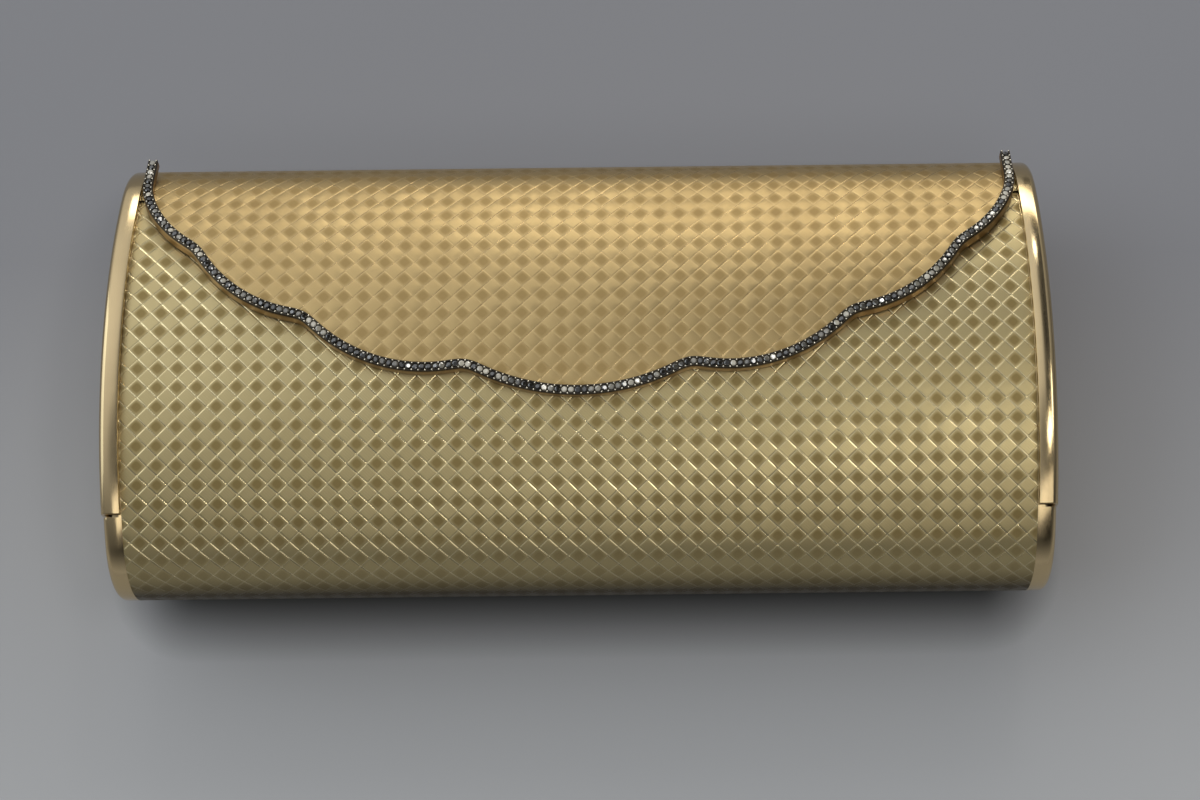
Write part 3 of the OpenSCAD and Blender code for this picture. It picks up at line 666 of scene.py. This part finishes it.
def wear_group():
    """Handling marks on polished metal: cloudy smears and fine scratches."""
    tree, given, made = group_of("handling_marks", "ShaderNodeTree", {
        "Vector": "Vector", "Smear size": 90.0, "Scratch size": 500.0},
        {"Smears": "Float", "Scratches": "Float"})
    plug(noise_of(tree, given["Vector"], given["Smear size"], Detail=4), made["Smears"])
    total = None
    for turn in (0.35, 1.9, 2.6):
        spun = made_by(tree, "ShaderNodeMapping", {
            "Rotation": (turn, 0.4 * turn, turn), "Scale": (1.0, 0.04, 1.0), "Vector": given["Vector"]})
        line = noise_of(tree, spun, given["Scratch size"], Detail=1)
        thin = (1.0 - (abs(line - 0.5) * 14.0).by("MINIMUM", 1.0)) ** 2.0
        total = total.by("MAXIMUM", thin) if total else thin
    plug(total, made["Scratches"])
    return tree


def hatch_group():
    """The graver's work: fine lines that turn from cell to cell, sunk cells, and the cuts on the cell edges.
    """
    tree, given, made = group_of("lozenge_hatching", "ShaderNodeTree", {
        "Vector": "Vector", "Lines": 6.0, "Cut share": 0.07, "Cell share": 0.39, "Cell blur": 0.14},
        {"Hatch": "Float", "Sunk cells": "Float", "Rising cuts": "Float", "Falling cuts": "Float"})
    u, v, _ = split(given["Vector"])
    ribbon, off_r, off_f = lozenge_cells(u, v)
    sunk, size_r, size_f = 1.0 - ribbon, abs(off_r), abs(off_f)
    across = ribbon * off_r + sunk * off_f
    plug((across * given["Lines"] * (2 * math.pi)).by("COSINE"), made["Hatch"])
    wide = (size_r.by("MAXIMUM", size_f) + distance_of(size_r, size_f)) * 0.5
    share, blur = given["Cell share"], given["Cell blur"]
    plug(sunk * ranged(wide, share - blur, share + blur, 1.0, 0.0), made["Sunk cells"])
    for label, size in (("Rising cuts", size_r), ("Falling cuts", size_f)):
        plug(1.0 - ((0.5 - size) / given["Cut share"]).by("MINIMUM", 1.0), made[label])
    return tree


def nap_group():
    """The nap of suede and velour: mottled tone and a fine uneven height."""
    tree, given, made = group_of("nap", "ShaderNodeTree", {
        "Vector": "Vector", "Pile size": 2200.0, "Mottle size": 60.0}, {"Mottle": "Float", "Pile": "Float"})
    for label, detail in (("Mottle", 5), ("Pile", 3)):
        plug(noise_of(tree, given["Vector"], given[label + " size"], Detail=detail), made[label])
    return tree


def finish(name, **sockets):
    """A material with one Principled shader, its tree and the shader's sockets."""
    material = bpy.data.materials.new(name)
    material.use_nodes = True
    shader = next(n for n in material.node_tree.nodes if n.type == "BSDF_PRINCIPLED").inputs
    for label, value in sockets.items():
        shader[label.replace("_", " ")].default_value = value
    return material, material.node_tree, shader


def bumped(shader, height, distance):
    plug(made_by(height.tree, "ShaderNodeBump", {"Height": height, "Strength": 1.0, "Distance": distance}),
         shader["Normal"])


def polished_metal(name, colour, roughness):
    """Polished metal, faintly uneven where it was held, with hair-fine scratches."""
    material, tree, shader = finish(name, Metallic=1.0, Roughness=roughness)
    marks = grouped(tree, WEAR)
    darker = tuple(0.9 * c for c in colour)
    plug(mixed(ranged(marks["Smears"], 0.35, 0.7), colour, darker), shader["Base Color"])
    rough = ranged(marks["Smears"], 0.3, 0.75, roughness, roughness + 0.06)
    plug(rough + marks["Scratches"] * 0.025, shader["Roughness"])
    bumped(shader, marks["Scratches"] * -1.0, 0.0000004)
    return material


# Painted shade: the patterned case's colour darkens towards its foot, as the table's shadow seen in the gold
# there; just above, the sunk cells' darker tone fades out.
FOOT_Y, FOOT_Z, FOOT_SHADE = (-0.0385, -0.0325), (0.023, 0.031), (0.05, 0.035, 0.015)
PATTERN_FADE_Y = (-0.0375, -0.031)


def engraved_gold(name, light, dark, cut, rising, falling, foot_shade_and_fade):
    """Patterned sheet: satin ribbons, darker matt cells, bright cuts with a painted highlight, and a foot
    darkened by painted shade.
    """
    material, tree, shader = finish(name, Metallic=1.0, Roughness=0.36)
    work = grouped(tree, HATCH, made_by(tree, "ShaderNodeUVMap", uv_map="engraving"))
    smears = grouped(tree, WEAR)["Smears"]
    outer = made_by(tree, "ShaderNodeAttribute", output="Fac", attribute_name="engraved_side")
    _, y, z = split(on_object(tree))
    # sunk cells take the dark tone, partly for their matt finish and partly as painted shade; towards the
    # foot it fades out
    cells = mixed(work["Sunk cells"] * ranged(y, *PATTERN_FADE_Y, 1.0 - 0.8 * foot_shade_and_fade, 1.0), light, dark)
    cells = mixed(ranged(smears, 0.3, 0.75, 0.0, 0.18), cells, dark)
    # the cut colour along the cuts that face the lamps is a painted highlight; their lower roughness is real
    # polish
    bright = (work["Rising cuts"] * rising).by("MAXIMUM", work["Falling cuts"] * falling) * outer
    tone = mixed(outer, light, mixed(bright, cells, cut))
    # painted shade: darker towards the foot
    foot = ranged(y, *FOOT_Y, min(1.1 * foot_shade_and_fade, 1.0), 0.0) * ranged(z, *FOOT_Z, 1.0, 0.0)
    plug(mixed(foot, tone, FOOT_SHADE), shader["Base Color"])
    rough = ranged(smears, 0.3, 0.75, 0.36, 0.42) + work["Sunk cells"] * outer * 0.12
    plug(rough - bright * 0.42, shader["Roughness"])
    bumped(shader, work["Hatch"] * outer, 0.000006)
    return material


def napped(name, colour, shade, pile=2200.0, **sockets):
    """Suede, velour or thread: a mottled tone and a fine nap."""
    material, tree, shader = finish(name, Roughness=0.95, **sockets)
    nap = grouped(tree, NAP, pile_size=pile)
    tone = mixed(ranged(nap["Mottle"], 0.3, 0.7), colour, shade)
    plug(mixed(ranged(nap["Pile"], 0.35, 0.65, 0.0, 0.35), tone, shade), shader["Base Color"])
    bumped(shader, nap["Pile"], 0.00012)
    return material


def silvered():
    """Old silvered glass, a little clouded."""
    material, tree, shader = finish("silvered_mirror", Metallic=1.0, Roughness=0.02)
    smears = grouped(tree, WEAR, smear_size=60.0)["Smears"]
    plug(mixed(smears, (0.83, 0.85, 0.86), (0.76, 0.79, 0.80)), shader["Base Color"])
    plug(ranged(smears, 0.4, 0.8, 0.015, 0.06), shader["Roughness"])
    return material


def brilliant():
    """Colourless stones, each with its own tone from nearly black to white, painted as glints and dark
    reflections.
    """
    material, tree, shader = finish("colourless_stones", Roughness=0.04, Transmission_Weight=0.35, IOR=2.2)
    own = made_by(tree, "ShaderNodeAttribute", output="Fac", attribute_name="own_tone")
    smears = grouped(tree, WEAR, smear_size=120.0)["Smears"]
    lit = ranged(own + ranged(smears, 0.35, 0.65, -0.3, 0.3), 0.35, 0.9)
    plug(mixed(lit ** 1.6, (0.020, 0.017, 0.011), (0.95, 0.88, 0.72)), shader["Base Color"])
    plug(ranged(smears, 0.3, 0.7, 0.03, 0.09), shader["Roughness"])
    return material


WEAR, HATCH, NAP = wear_group(), hatch_group(), nap_group()
ENGRAVING, SEATING = engraving_tree(), seating_tree()

# The flap's warmer, lighter tone against the case's is a painted reflection of the warmer light the flap
# faces.
gold_flap = engraved_gold("patterned_gold_flap", (0.52, 0.38, 0.178), (0.385, 0.27, 0.115),
                          (0.62, 0.46, 0.24), 0.15, 0.35, 0.0)
gold_case = engraved_gold("patterned_gold_case", (0.54, 0.44, 0.23), (0.29, 0.215, 0.088),
                          (0.86, 0.76, 0.48), 0.7, 0.35, 0.85)
gold_bands = polished_metal("polished_gold_bands", (0.62, 0.48, 0.27), 0.12)
gold_inside = polished_metal("polished_gold_fittings", (0.80, 0.60, 0.30), 0.2)
# the gallery under the border is painted dark brown as the shadow the border casts
shaded_gallery_gold = polished_metal("polished_gold_edge", (0.36, 0.225, 0.095), 0.3)
# the setting's near-black colour is painted shade in the channel round the stones
dark_setting = polished_metal("blackened_white_gold", (0.062, 0.053, 0.040), 0.26)
bright_grains = polished_metal("bright_cut_grains", (0.95, 0.88, 0.72), 0.1)
suede = napped("brown_suede", (0.085, 0.052, 0.036), (0.05, 0.030, 0.021),
               Sheen_Weight=0.5, Sheen_Roughness=0.45)
waxed_thread = napped("waxed_thread", (0.20, 0.13, 0.085), (0.13, 0.085, 0.055), pile=3500.0)
velour = napped("rose_velour", (0.76, 0.52, 0.46), (0.62, 0.40, 0.35), pile=1500.0,
                Sheen_Weight=0.6, Sheen_Roughness=0.4)
mirror_face, stones = silvered(), brilliant()

# the panels

CASE_START, FLAP_START, FLAP_GROOVE, EDGE_GAP = (-0.3, -8.7), (0.65, 34.6), 0.035, 0.05
LONG_STEP, SHORT_STEP = 1.6, 0.8
FLAP_TOP_P, PLATE_FOOT_P, PLATE_GROW = 26.0, 31.85, LAP - 0.1


def stepped(start, end, pitch=SHORT_STEP):
    """Points from start up to, but not at, end."""
    start, end = np.array(start, float), np.array(end, float)
    count = max(1, int(round(np.linalg.norm(end - start) / pitch)))
    return [tuple(start + (end - start) * k / count) for k in range(count)]


def framed(x0, x1, low, high, pitch):
    """Outline of an oblong sheet, with the pitch of its points along the case."""
    corners = [(x0, low), (x1, low), (x1, high), (x0, high)]
    return [v for k, m in looped(4) for v in stepped(corners[k], corners[m], (pitch, SHORT_STEP)[k % 2])]


def flap_outline():
    """The flap laid flat: the scalloped edge, then round its plain top."""
    top = 2 * CREST - face_run(FLAP_TOP_P, STEP) - EDGE_GAP
    prong_q = float(border_bent(FACE_END + PRONG)[1]) - SKIRT
    shoulder = FACE_END + (END_R + STEP) * (math.acos(prong_q / (END_R + STEP)) - JOIN)
    cut_edge = [tuple(v) for v in finer(BORDER, 2) if v[1] < FACE_END - 0.3]
    side = [*stepped((BORDER_X, FACE_END - 0.1), (BORDER_X, shoulder)), (BORDER_X, shoulder),
            *stepped((SHEET_X, shoulder), (SHEET_X, top))]
    left = [(-x, s) for x, s in reversed([*side, (SHEET_X, top)])]
    return cut_edge + side + stepped((SHEET_X, top), (-SHEET_X, top), LONG_STEP) + left


case_low = -(2 * quarter_run(0) + face_run(MOUTH_BACK[0])) + EDGE_GAP
case_rim = framed(-SHEET_X, SHEET_X, case_low, face_run(MOUTH_FRONT[0]) - EDGE_GAP, LONG_STEP)
patterned_sheet("case_panel", case_rim, CASE_START, 0.0, "base", "base_shell", gold_case)
patterned_sheet("flap_panel", flap_outline(), FLAP_START, STEP, "lid", "flap", gold_flap, FLAP_GROOVE)

plate_low, plate_high = face_run(PLATE_FOOT_P, PLATE_GROW) + EDGE_GAP, quarter_run(PLATE_GROW) - 0.1
for name, x0, x1 in (("corner_plate_left", -SHEET_X, -CORNER_X), ("corner_plate_right", CORNER_X, SHEET_X)):
    plate_rim = framed(x0, x1, plate_low, plate_high, SHORT_STEP)
    patterned_sheet(name + "_panel", plate_rim, CASE_START, PLATE_GROW, "lid", name, gold_case)

# the polished ends

for body, made_cheek in (("lid", lid_cheek), ("base", base_cheek)):
    cheek, end = made_cheek(), body + "_end_"
    fit(mirrored(cheek, end + "left_polished"), body, [end + "left"], gold_bands)
    fit(cheek, body, [end + "right"], gold_bands)

# the border

STONE_ACROSS, STONE_UP, GRAIN_OUT, GRAIN_UP, GRAIN_R = 1.06, 1.54, 0.60, 1.55, 0.2
GALLERY = [(-0.93, 0.02), (0.35, 0.02), (0.35, -1.1), (0.86, -1.1), (0.95, -1.0), (0.95, 0.95), (0.86, 1.03),
           (-0.86, 1.03), (-0.93, 0.95)]
RAIL = [(0.87, 1.40), (0.80, 1.55), (0.70, 1.60), (0.62, 1.57), (0.585, 1.47), (0.585, 1.19)]
SETTING = [(-0.87, 1.04), (0.87, 1.04)] + RAIL + [(-out, up) for out, up in reversed(RAIL)]

fine_line = finer(BORDER, 3)
fit(creased(swept_strip("border_gallery", GALLERY, fine_line), 30), "lid", [], shaded_gallery_gold)
fit(creased(swept_strip("border_setting", SETTING, fine_line), 50), "lid",
    ["border_channel"], dark_setting)

seat, seat_ahead, _, seat_up = border_frames((BORDER[:-1] + BORDER[1:]) / 2)
gems = seated("border_brilliants", (seat + seat_up * STONE_UP) / 1000, seat_up, seat_ahead,
              cut_stone(STONE_ACROSS), stones, play=0.22, spin=0.6, seed=11)
fit(gems, "lid", ["border_stones"], stones)
place, ahead, out, up = border_frames(BORDER)
grain_places = np.concatenate([place + out * side + up * GRAIN_UP for side in (-GRAIN_OUT, GRAIN_OUT)]) / 1000
grains = seated("border_grains", grain_places, np.tile(up, (2, 1)), np.tile(ahead, (2, 1)), bead(GRAIN_R),
                bright_grains)
fit(grains, "lid", [], bright_grains)

# suede lining and velour puff

MOUTH_LINE, FRAME_DOWN, FRAME_WIDE = (0.305268, 0.952266), 2.3, 31.1202
LINING_X, LINING_SKINS, RIM_GROW, LINING_WAVE, WAVE_LONG = 79.8, (-1.35, -2.1), -1.8, 0.16, 9.0
INNER_X, END_GROW, END_SUEDE, END_MIDDLE = 79.1, -2.2, (0.04, 0.72), (-4.0, 0.0)
LID_LINING_X, LID_SKINS, LID_GROW, LID_LINING_P = 74.8, (0.15, -0.6), -0.6, (32.3, 28.5)
CATCH_X, CATCH_ALONG = 5.4, 23.6
STITCH_X, STITCH_PITCH, STITCH_IN, STITCH_SUNK = 76.0, 2.0, 2.0, 0.03
DIVIDER_X, DIVIDER_GROW, BOARD, SCOOP_R = 27.0, -2.25, 0.8, 7.0
WELL_X, WELL_Q, WELL_FLOOR, PUFF_R, PUFF_TALL = (30.1, 76.0), 1.8, -9.9, 7.95, 7.0


def below_mouth(p, q):
    """How far a point of the section lies below the slanting line of the mouth."""
    return (q - MOUTH_BACK[1]) * MOUTH_LINE[0] - (p - MOUTH_BACK[0]) * MOUTH_LINE[1]


def along_mouth(p, q):
    return (p - MOUTH_BACK[0]) * MOUTH_LINE[0] + (q - MOUTH_BACK[1]) * MOUTH_LINE[1]


def uneven(a, b, size):
    """A smooth unevenness from 0 to 1, as in skin laid down by hand."""
    first = np.sin(a / size + 1.3 * np.sin(b / size / 1.7))
    return 0.5 + 0.25 * (first + np.sin(b / size * 1.3 + 0.8 * np.sin(a / size / 2.1) + 2.0))


def clear_of_catch(x, s):
    return (np.abs(x) >= CATCH_X) | (along_mouth(*wrap(s, -0.2)[:2]) <= CATCH_ALONG)


def lined(name, half, low, high, skins, notched, body, node):
    """Fits a suede sheet bent round the section, whole or notched for the catch."""
    x, s = np.meshgrid(np.linspace(-half, half, int(2 * half / 1.8)),
                       np.linspace(low, high, int((high - low) / 1.6)), indexing="ij")
    kept = clear_of_catch(*[(g[:-1, :-1] + g[1:, 1:]) / 2 for g in (x, s)]) | (not notched)
    quads = squares(kept)[:, [0, 3, 2, 1]]
    edges = dict.fromkeys((quad[k], quad[m]) for quad in quads.tolist() for k, m in looped(4))
    rim = [(v, u, u + x.size, v + x.size) for u, v in edges if (v, u) not in edges]
    used, faces = np.unique(np.concatenate([quads, quads[:, ::-1] + x.size, rim]), return_inverse=True)
    x, s = x.ravel(), s.ravel()
    share = float(np.mean(clear_of_catch(x, s) | (not notched)))
    wave = LINING_WAVE * uneven(x, s, WAVE_LONG)
    points = np.concatenate([bent(x, s, skins[0]), bent(x, s, skins[1], wave)])
    sheet = rounded(outward(new_piece(name, points[used], faces.reshape(-1, 4))))
    fit(sheet, body, [node], suede)
    (high - low) / 1000
    share * 2 * half * (high - low) * 1e-6


def end_sheet(name, hand):
    """Fits a suede end sheet inside the wrap, a little uneven on its open side."""
    p, q = oval(END_GROW, 160)
    deep = np.minimum(0.0, below_mouth(p, q) - FRAME_DOWN - 0.1)
    rim = np.column_stack([p + deep * MOUTH_LINE[1], q - deep * MOUTH_LINE[0]])
    middle, shares = np.array(END_MIDDLE), np.linspace(1, 0.08, 16)
    grown = np.concatenate([middle + (rim - middle) * t for t in (*shares[::-1], *shares)])
    seen = len(grown) // 2
    depth = np.full(len(grown), END_SUEDE[1])
    depth[:seen] = END_SUEDE[0] + 0.12 * uneven(*grown[:seen].T, 5.0)
    places = placed(hand * (INNER_X + depth), *grown.T)
    sheet = outward(new_piece(name, places, tube_faces(2 * len(shares), len(rim))))
    fit(sheet, "base", ["case_lining"], suede)


def covered_divider():
    """A thin board in suede, with its finger scoop and a soft edge."""
    p, q = oval(DIVIDER_GROW, 240)
    within = below_mouth(p, q) - FRAME_DOWN - 0.05 > 0
    ring = np.column_stack((p[within], q[within]))
    ring = np.roll(ring, -int(np.argmax(np.hypot(*(np.roll(ring, -1, axis=0) - ring).T))) - 1, axis=0)
    a, b = ring[-1], ring[0]
    unit = (b - a) / np.linalg.norm(b - a)
    scoop = np.add(MOUTH_BACK, np.multiply(MOUTH_LINE, FRAME_WIDE / 2))
    reach = np.dot(scoop - a, unit)
    drop = np.linalg.norm(scoop - a - unit * reach)
    into = (a + unit * reach - scoop) / drop
    half, bend = math.sqrt(SCOOP_R ** 2 - drop ** 2) + 0.4, math.acos(drop / SCOOP_R)
    arc = [scoop + SCOOP_R * (into * math.cos(w) + unit * math.sin(w)) for w in np.linspace(-bend, bend, 25)]
    lips = [[a + unit * t for t in np.linspace(start, end, 8)]
            for start, end in ((0.6, reach - half), (reach + half, np.linalg.norm(b - a) - 0.6))]
    outline = [tuple(v) for v in [*ring, *lips[0], *arc, *lips[1]]]
    return softened(prism("divider_board", outline, DIVIDER_X - BOARD, DIVIDER_X), 0.3, 50, 3)


def oblong(half_length, radius):
    """Outline with round ends, about its middle."""
    turn = np.linspace(-math.pi / 2, math.pi / 2, 24)
    right_end = np.column_stack([half_length + radius * np.cos(turn), radius * np.sin(turn)])
    return np.concatenate([right_end, -right_end])


def blown_up(pad):
    """Places of the pad's points after 20 frames as cloth under pressure."""
    blown = pad.modifiers.new("blown", "CLOTH")
    blown.settings.quality = 5
    blown.settings.use_pressure = True
    blown.settings.uniform_pressure_force = 4.0
    blown.settings.effector_weights.gravity = 0.0
    for step in range(1, 21):
        bpy.context.scene.frame_set(step)
    swollen = pad.evaluated_get(bpy.context.evaluated_depsgraph_get()).to_mesh()
    after = places_of(swollen)
    pad.modifiers.clear()
    bpy.context.scene.frame_set(1)
    return after


def puff_pad():
    """The velour puff, blown up at ten times its size and brought back into the well."""
    half_length, grown = (WELL_X[1] - WELL_X[0]) / 2 - 0.8 - PUFF_R, 10.0
    rim, tall = oblong(half_length, PUFF_R - 1.0), PUFF_TALL - 1.8
    side = [(tall / 2, 0.90), (tall / 2 - 0.5, 0.97)]
    layers = [(-z, share) for z, share in side] + [(0.0, 1.0)] + side[::-1]
    points = np.concatenate([np.column_stack([rim * (1 - (1 - share) * 0.6, share), np.full(len(rim), z)])
                             for z, share in layers])
    pad = outward(new_piece("powder_puff_pad", points * grown / 1000, tube_faces(len(layers), len(rim))))
    even = pad.modifiers.new("even", "REMESH")
    even.mode, even.voxel_size = "VOXEL", 0.0055
    settled(pad)
    before = places_of(pad.data)
    after = blown_up(pad)
    moved = after - before
    moved *= np.minimum(1.0, 0.012 / np.maximum(np.linalg.norm(moved, axis=1), 1e-9))[:, None]
    x, y, z = ((before + moved) / grown * 1000).T
    spine = np.clip(x, -half_length, half_length)
    pull = np.minimum(1.0, (PUFF_R - 0.05) / np.maximum(np.hypot(x - spine, y), 1e-9))
    x, y = spine + (x - spine) * pull, y * pull
    z = np.clip(z, -PUFF_TALL / 2 + 0.05, PUFF_TALL / 2 - 0.05)
    set_in = placed((WELL_X[0] + WELL_X[1]) / 2 + x, WELL_FLOOR + PUFF_TALL / 2 + z, WELL_Q + y)
    pad.data.vertices.foreach_set("co", set_in.astype(np.float32).ravel())
    pad.data.update()
    return smoothed(outward(rounded(pad)))


run = np.arange(-2 * quarter_run(RIM_GROW) - 40, 60, 0.05)
covered = run[below_mouth(*wrap(run, RIM_GROW)[:2]) > FRAME_DOWN + 0.15]
low, high = covered[0], covered[-1]
lined("lining_wrap", LINING_X, low, high, LINING_SKINS, False, "base", "case_lining")
end_sheet("lining_end_left", -1)
end_sheet("lining_end_right", 1)
lid_low = face_run(LID_LINING_P[0], LID_GROW)
lid_high = 2 * quarter_run(LID_GROW) - face_run(LID_LINING_P[1], LID_GROW)
lined("lid_lining_sheet", LID_LINING_X, lid_low, lid_high, LID_SKINS, True, "lid", "lid_lining")

row = np.arange(-STITCH_X, STITCH_X + 0.01, STITCH_PITCH)
x, s = (g.ravel() for g in np.meshgrid(row, (low + STITCH_IN, high - STITCH_IN)))
p, q, normal_p, normal_q = wrap(s, LINING_SKINS[1], LINING_WAVE * uneven(x, s, WAVE_LONG) - STITCH_SUNK)
inward = -np.column_stack([np.zeros(len(x)), normal_p, normal_q])
stitches = seated("lining_stitches", placed(x, p, q), inward, np.tile((1.0, 0.0, 0.0), (len(x), 1)),
                  thread(), waxed_thread, play=0.03, spin=0.05, seed=3)
fit(stitches, "base", [], waxed_thread)

fit(creased(covered_divider(), 60), "base", ["divider"], suede)

pad = puff_pad()
fit(pad, "base", ["powder_puff"], velour)

# solids that keep their shape

for name in ("mouth_frame", "base_hinge_leaf", "hinge_pin", "catch_keeper", "powder_well", "powder_pin",
             "lipstick_sleeve", "lid_hinge_leaf", "catch_tongue", "powder_lid", "powder_mirror"):
    for own_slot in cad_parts[name].material_slots:
        own_slot.material = mirror_face if name == "powder_mirror" else gold_inside

# table, lamps and camera

TABLE, PAINTED_CONTACT_SHADOW, CONTACT_SHADOW_RUN = 3, (0.012, 0.012, 0.011), (0.003, 0.0165)
PAPER_NEAR_LIT, PAPER_FAR_SHADED, PAPER_CLOUD = (0.50, 0.503, 0.508), (0.275, 0.276, 0.296), (0.33, 0.332, 0.345)

paint, tree, shader = finish("grey_paper", Roughness=0.85)
spot = on_object(tree)
x, y, _ = split(spot)
# Painted light: the paper is lighter towards the front and darker towards the back.
paper = mixed(ranged(y, -0.075, 0.03), PAPER_NEAR_LIT, PAPER_FAR_SHADED)
paper = mixed(ranged(noise_of(tree, spot, 3.0), 0.3, 0.7, 0, 0.2), paper, PAPER_CLOUD)
# Painted shadow: the paper darkens in a band round the case's footprint, as the contact shadow under it.
past_x, past_y = ((abs(part) - edge).by("MAXIMUM", 0.0) for part, edge in ((x, 0.074), (y, 0.033)))
contact_shadow = ranged(distance_of(past_x, past_y), *CONTACT_SHADOW_RUN, 0.97, 0.0)
plug(mixed(contact_shadow, paper, PAINTED_CONTACT_SHADOW), shader["Base Color"])
corners = [(a * TABLE, b * TABLE, 0) for a, b in ((-1, -1), (1, -1), (1, 1), (-1, 1))]
ground = new_piece("table_top", corners, [(0, 1, 2, 3)], smooth=False)
ground.data.materials.append(paint)

world = bpy.data.worlds.new("room")
bpy.context.scene.world = world
world.use_nodes = True
sky = world.node_tree
room = next(n for n in sky.nodes if n.type == "BACKGROUND").inputs
plug((0.95, 0.97, 1.0), room["Color"])
heading = made_by(sky, "ShaderNodeTexCoord", output="Generated")


def facing(direction):
    """How nearly a heading of the sky runs along a direction."""
    return made_by(sky, "ShaderNodeVectorMath", {0: heading, 1: Vector(direction).normalized()}, "Value",
                   operation="DOT_PRODUCT")


# a bright ceiling with two dark flags in it, and a dimmer wall round it
x, y, z = split(heading)
glow = facing((-0.08, 0.50, 0.86)).by("MAXIMUM", 0.0) ** 1.7
flag = ranged(abs(x - 0.21), 0.10, 0.15, 0.05, 1.0)
flag *= ranged(facing((0.03, -0.24, 0.97)), 0.955, 0.995, 1.0, 0.45)
ceiling = flag * ranged(glow, 0.0, 1.0, 0.01, 0.92) * ranged(x, -0.45, 0.45, 1.35, 0.65)
wall = ranged(z, 0.0, 0.65, 0.44, 0.0) * ranged(y, -0.6, 0.3, 1.0, 0.3)
plug(ceiling + wall, room["Strength"])


def lamp(name, tilt_x, tilt_y, away, size, level, colour=(1, 1, 1)):
    """A soft box at two tilts from straight above, in degrees, and the level it gives a table."""
    toward = Vector((math.tan(math.radians(tilt_x)), math.tan(math.radians(tilt_y)), 1)).normalized()
    light = bpy.data.lights.new(name, "AREA")
    light.shape, light.size, light.size_y = "RECTANGLE", size[0], size[1]
    light.energy, light.color = level * math.pi ** 2 * away ** 2 / toward.z, colour
    holder = shown(name, light)
    holder.location = toward * away
    holder.rotation_euler = (-toward).to_track_quat("-Z", "Y").to_euler()


lamp("soft_box_over", 24, -2, 1.35, (0.42, 0.16), 0.062, (1.0, 0.97, 0.92))
lamp("spot_near", 14.5, -12, 1.35, (0.2, 0.16), 0.045, (1.0, 0.98, 0.9))
lamp("spot_right", 12.5, 48, 1.5, (0.1, 0.1), 0.015)
lamp("soft_box_back", 18, 67, 1.5, (1.0, 0.22), 0.06, (1.0, 0.95, 0.86))
lamp("soft_box_front", 8, -33, 1.5, (0.8, 0.32), 0.044, (1.0, 0.97, 0.92))
lamp("window_left", -54, 10, 3.0, (2.6, 2.6), 0.155, (0.84, 0.93, 1.0))

# the photograph's own camera, in pixels of its 1200 by 800 picture
WIDE, TALL, FOCAL, CENTRE = 1200, 800, 2030.8, (642.7, 381.3)
ELEVATION, DISTANCE, LEAN, SIDEWAYS = math.radians(75.87), 0.3755, math.radians(-0.65), 0.01125
view = bpy.data.cameras.new("photo_view")
view.sensor_width, view.lens = 36, 36 * FOCAL / WIDE
view.shift_x, view.shift_y = (WIDE / 2 - CENTRE[0]) / WIDE, (CENTRE[1] - TALL / 2) / WIDE
view.clip_start, view.clip_end = 0.01, 20
camera = shown("photo_view", view)
camera.matrix_world = (Matrix.Translation((SIDEWAYS, -MIDDLE / 1000, REST / 1000))
                       @ Matrix.Rotation(math.pi / 2 - ELEVATION, 4, "X")
                       @ Matrix.Translation((0, 0, DISTANCE)) @ Matrix.Rotation(LEAN, 4, "Z"))
bpy.context.scene.camera = camera
bpy.context.scene.view_settings.view_transform = "Standard"
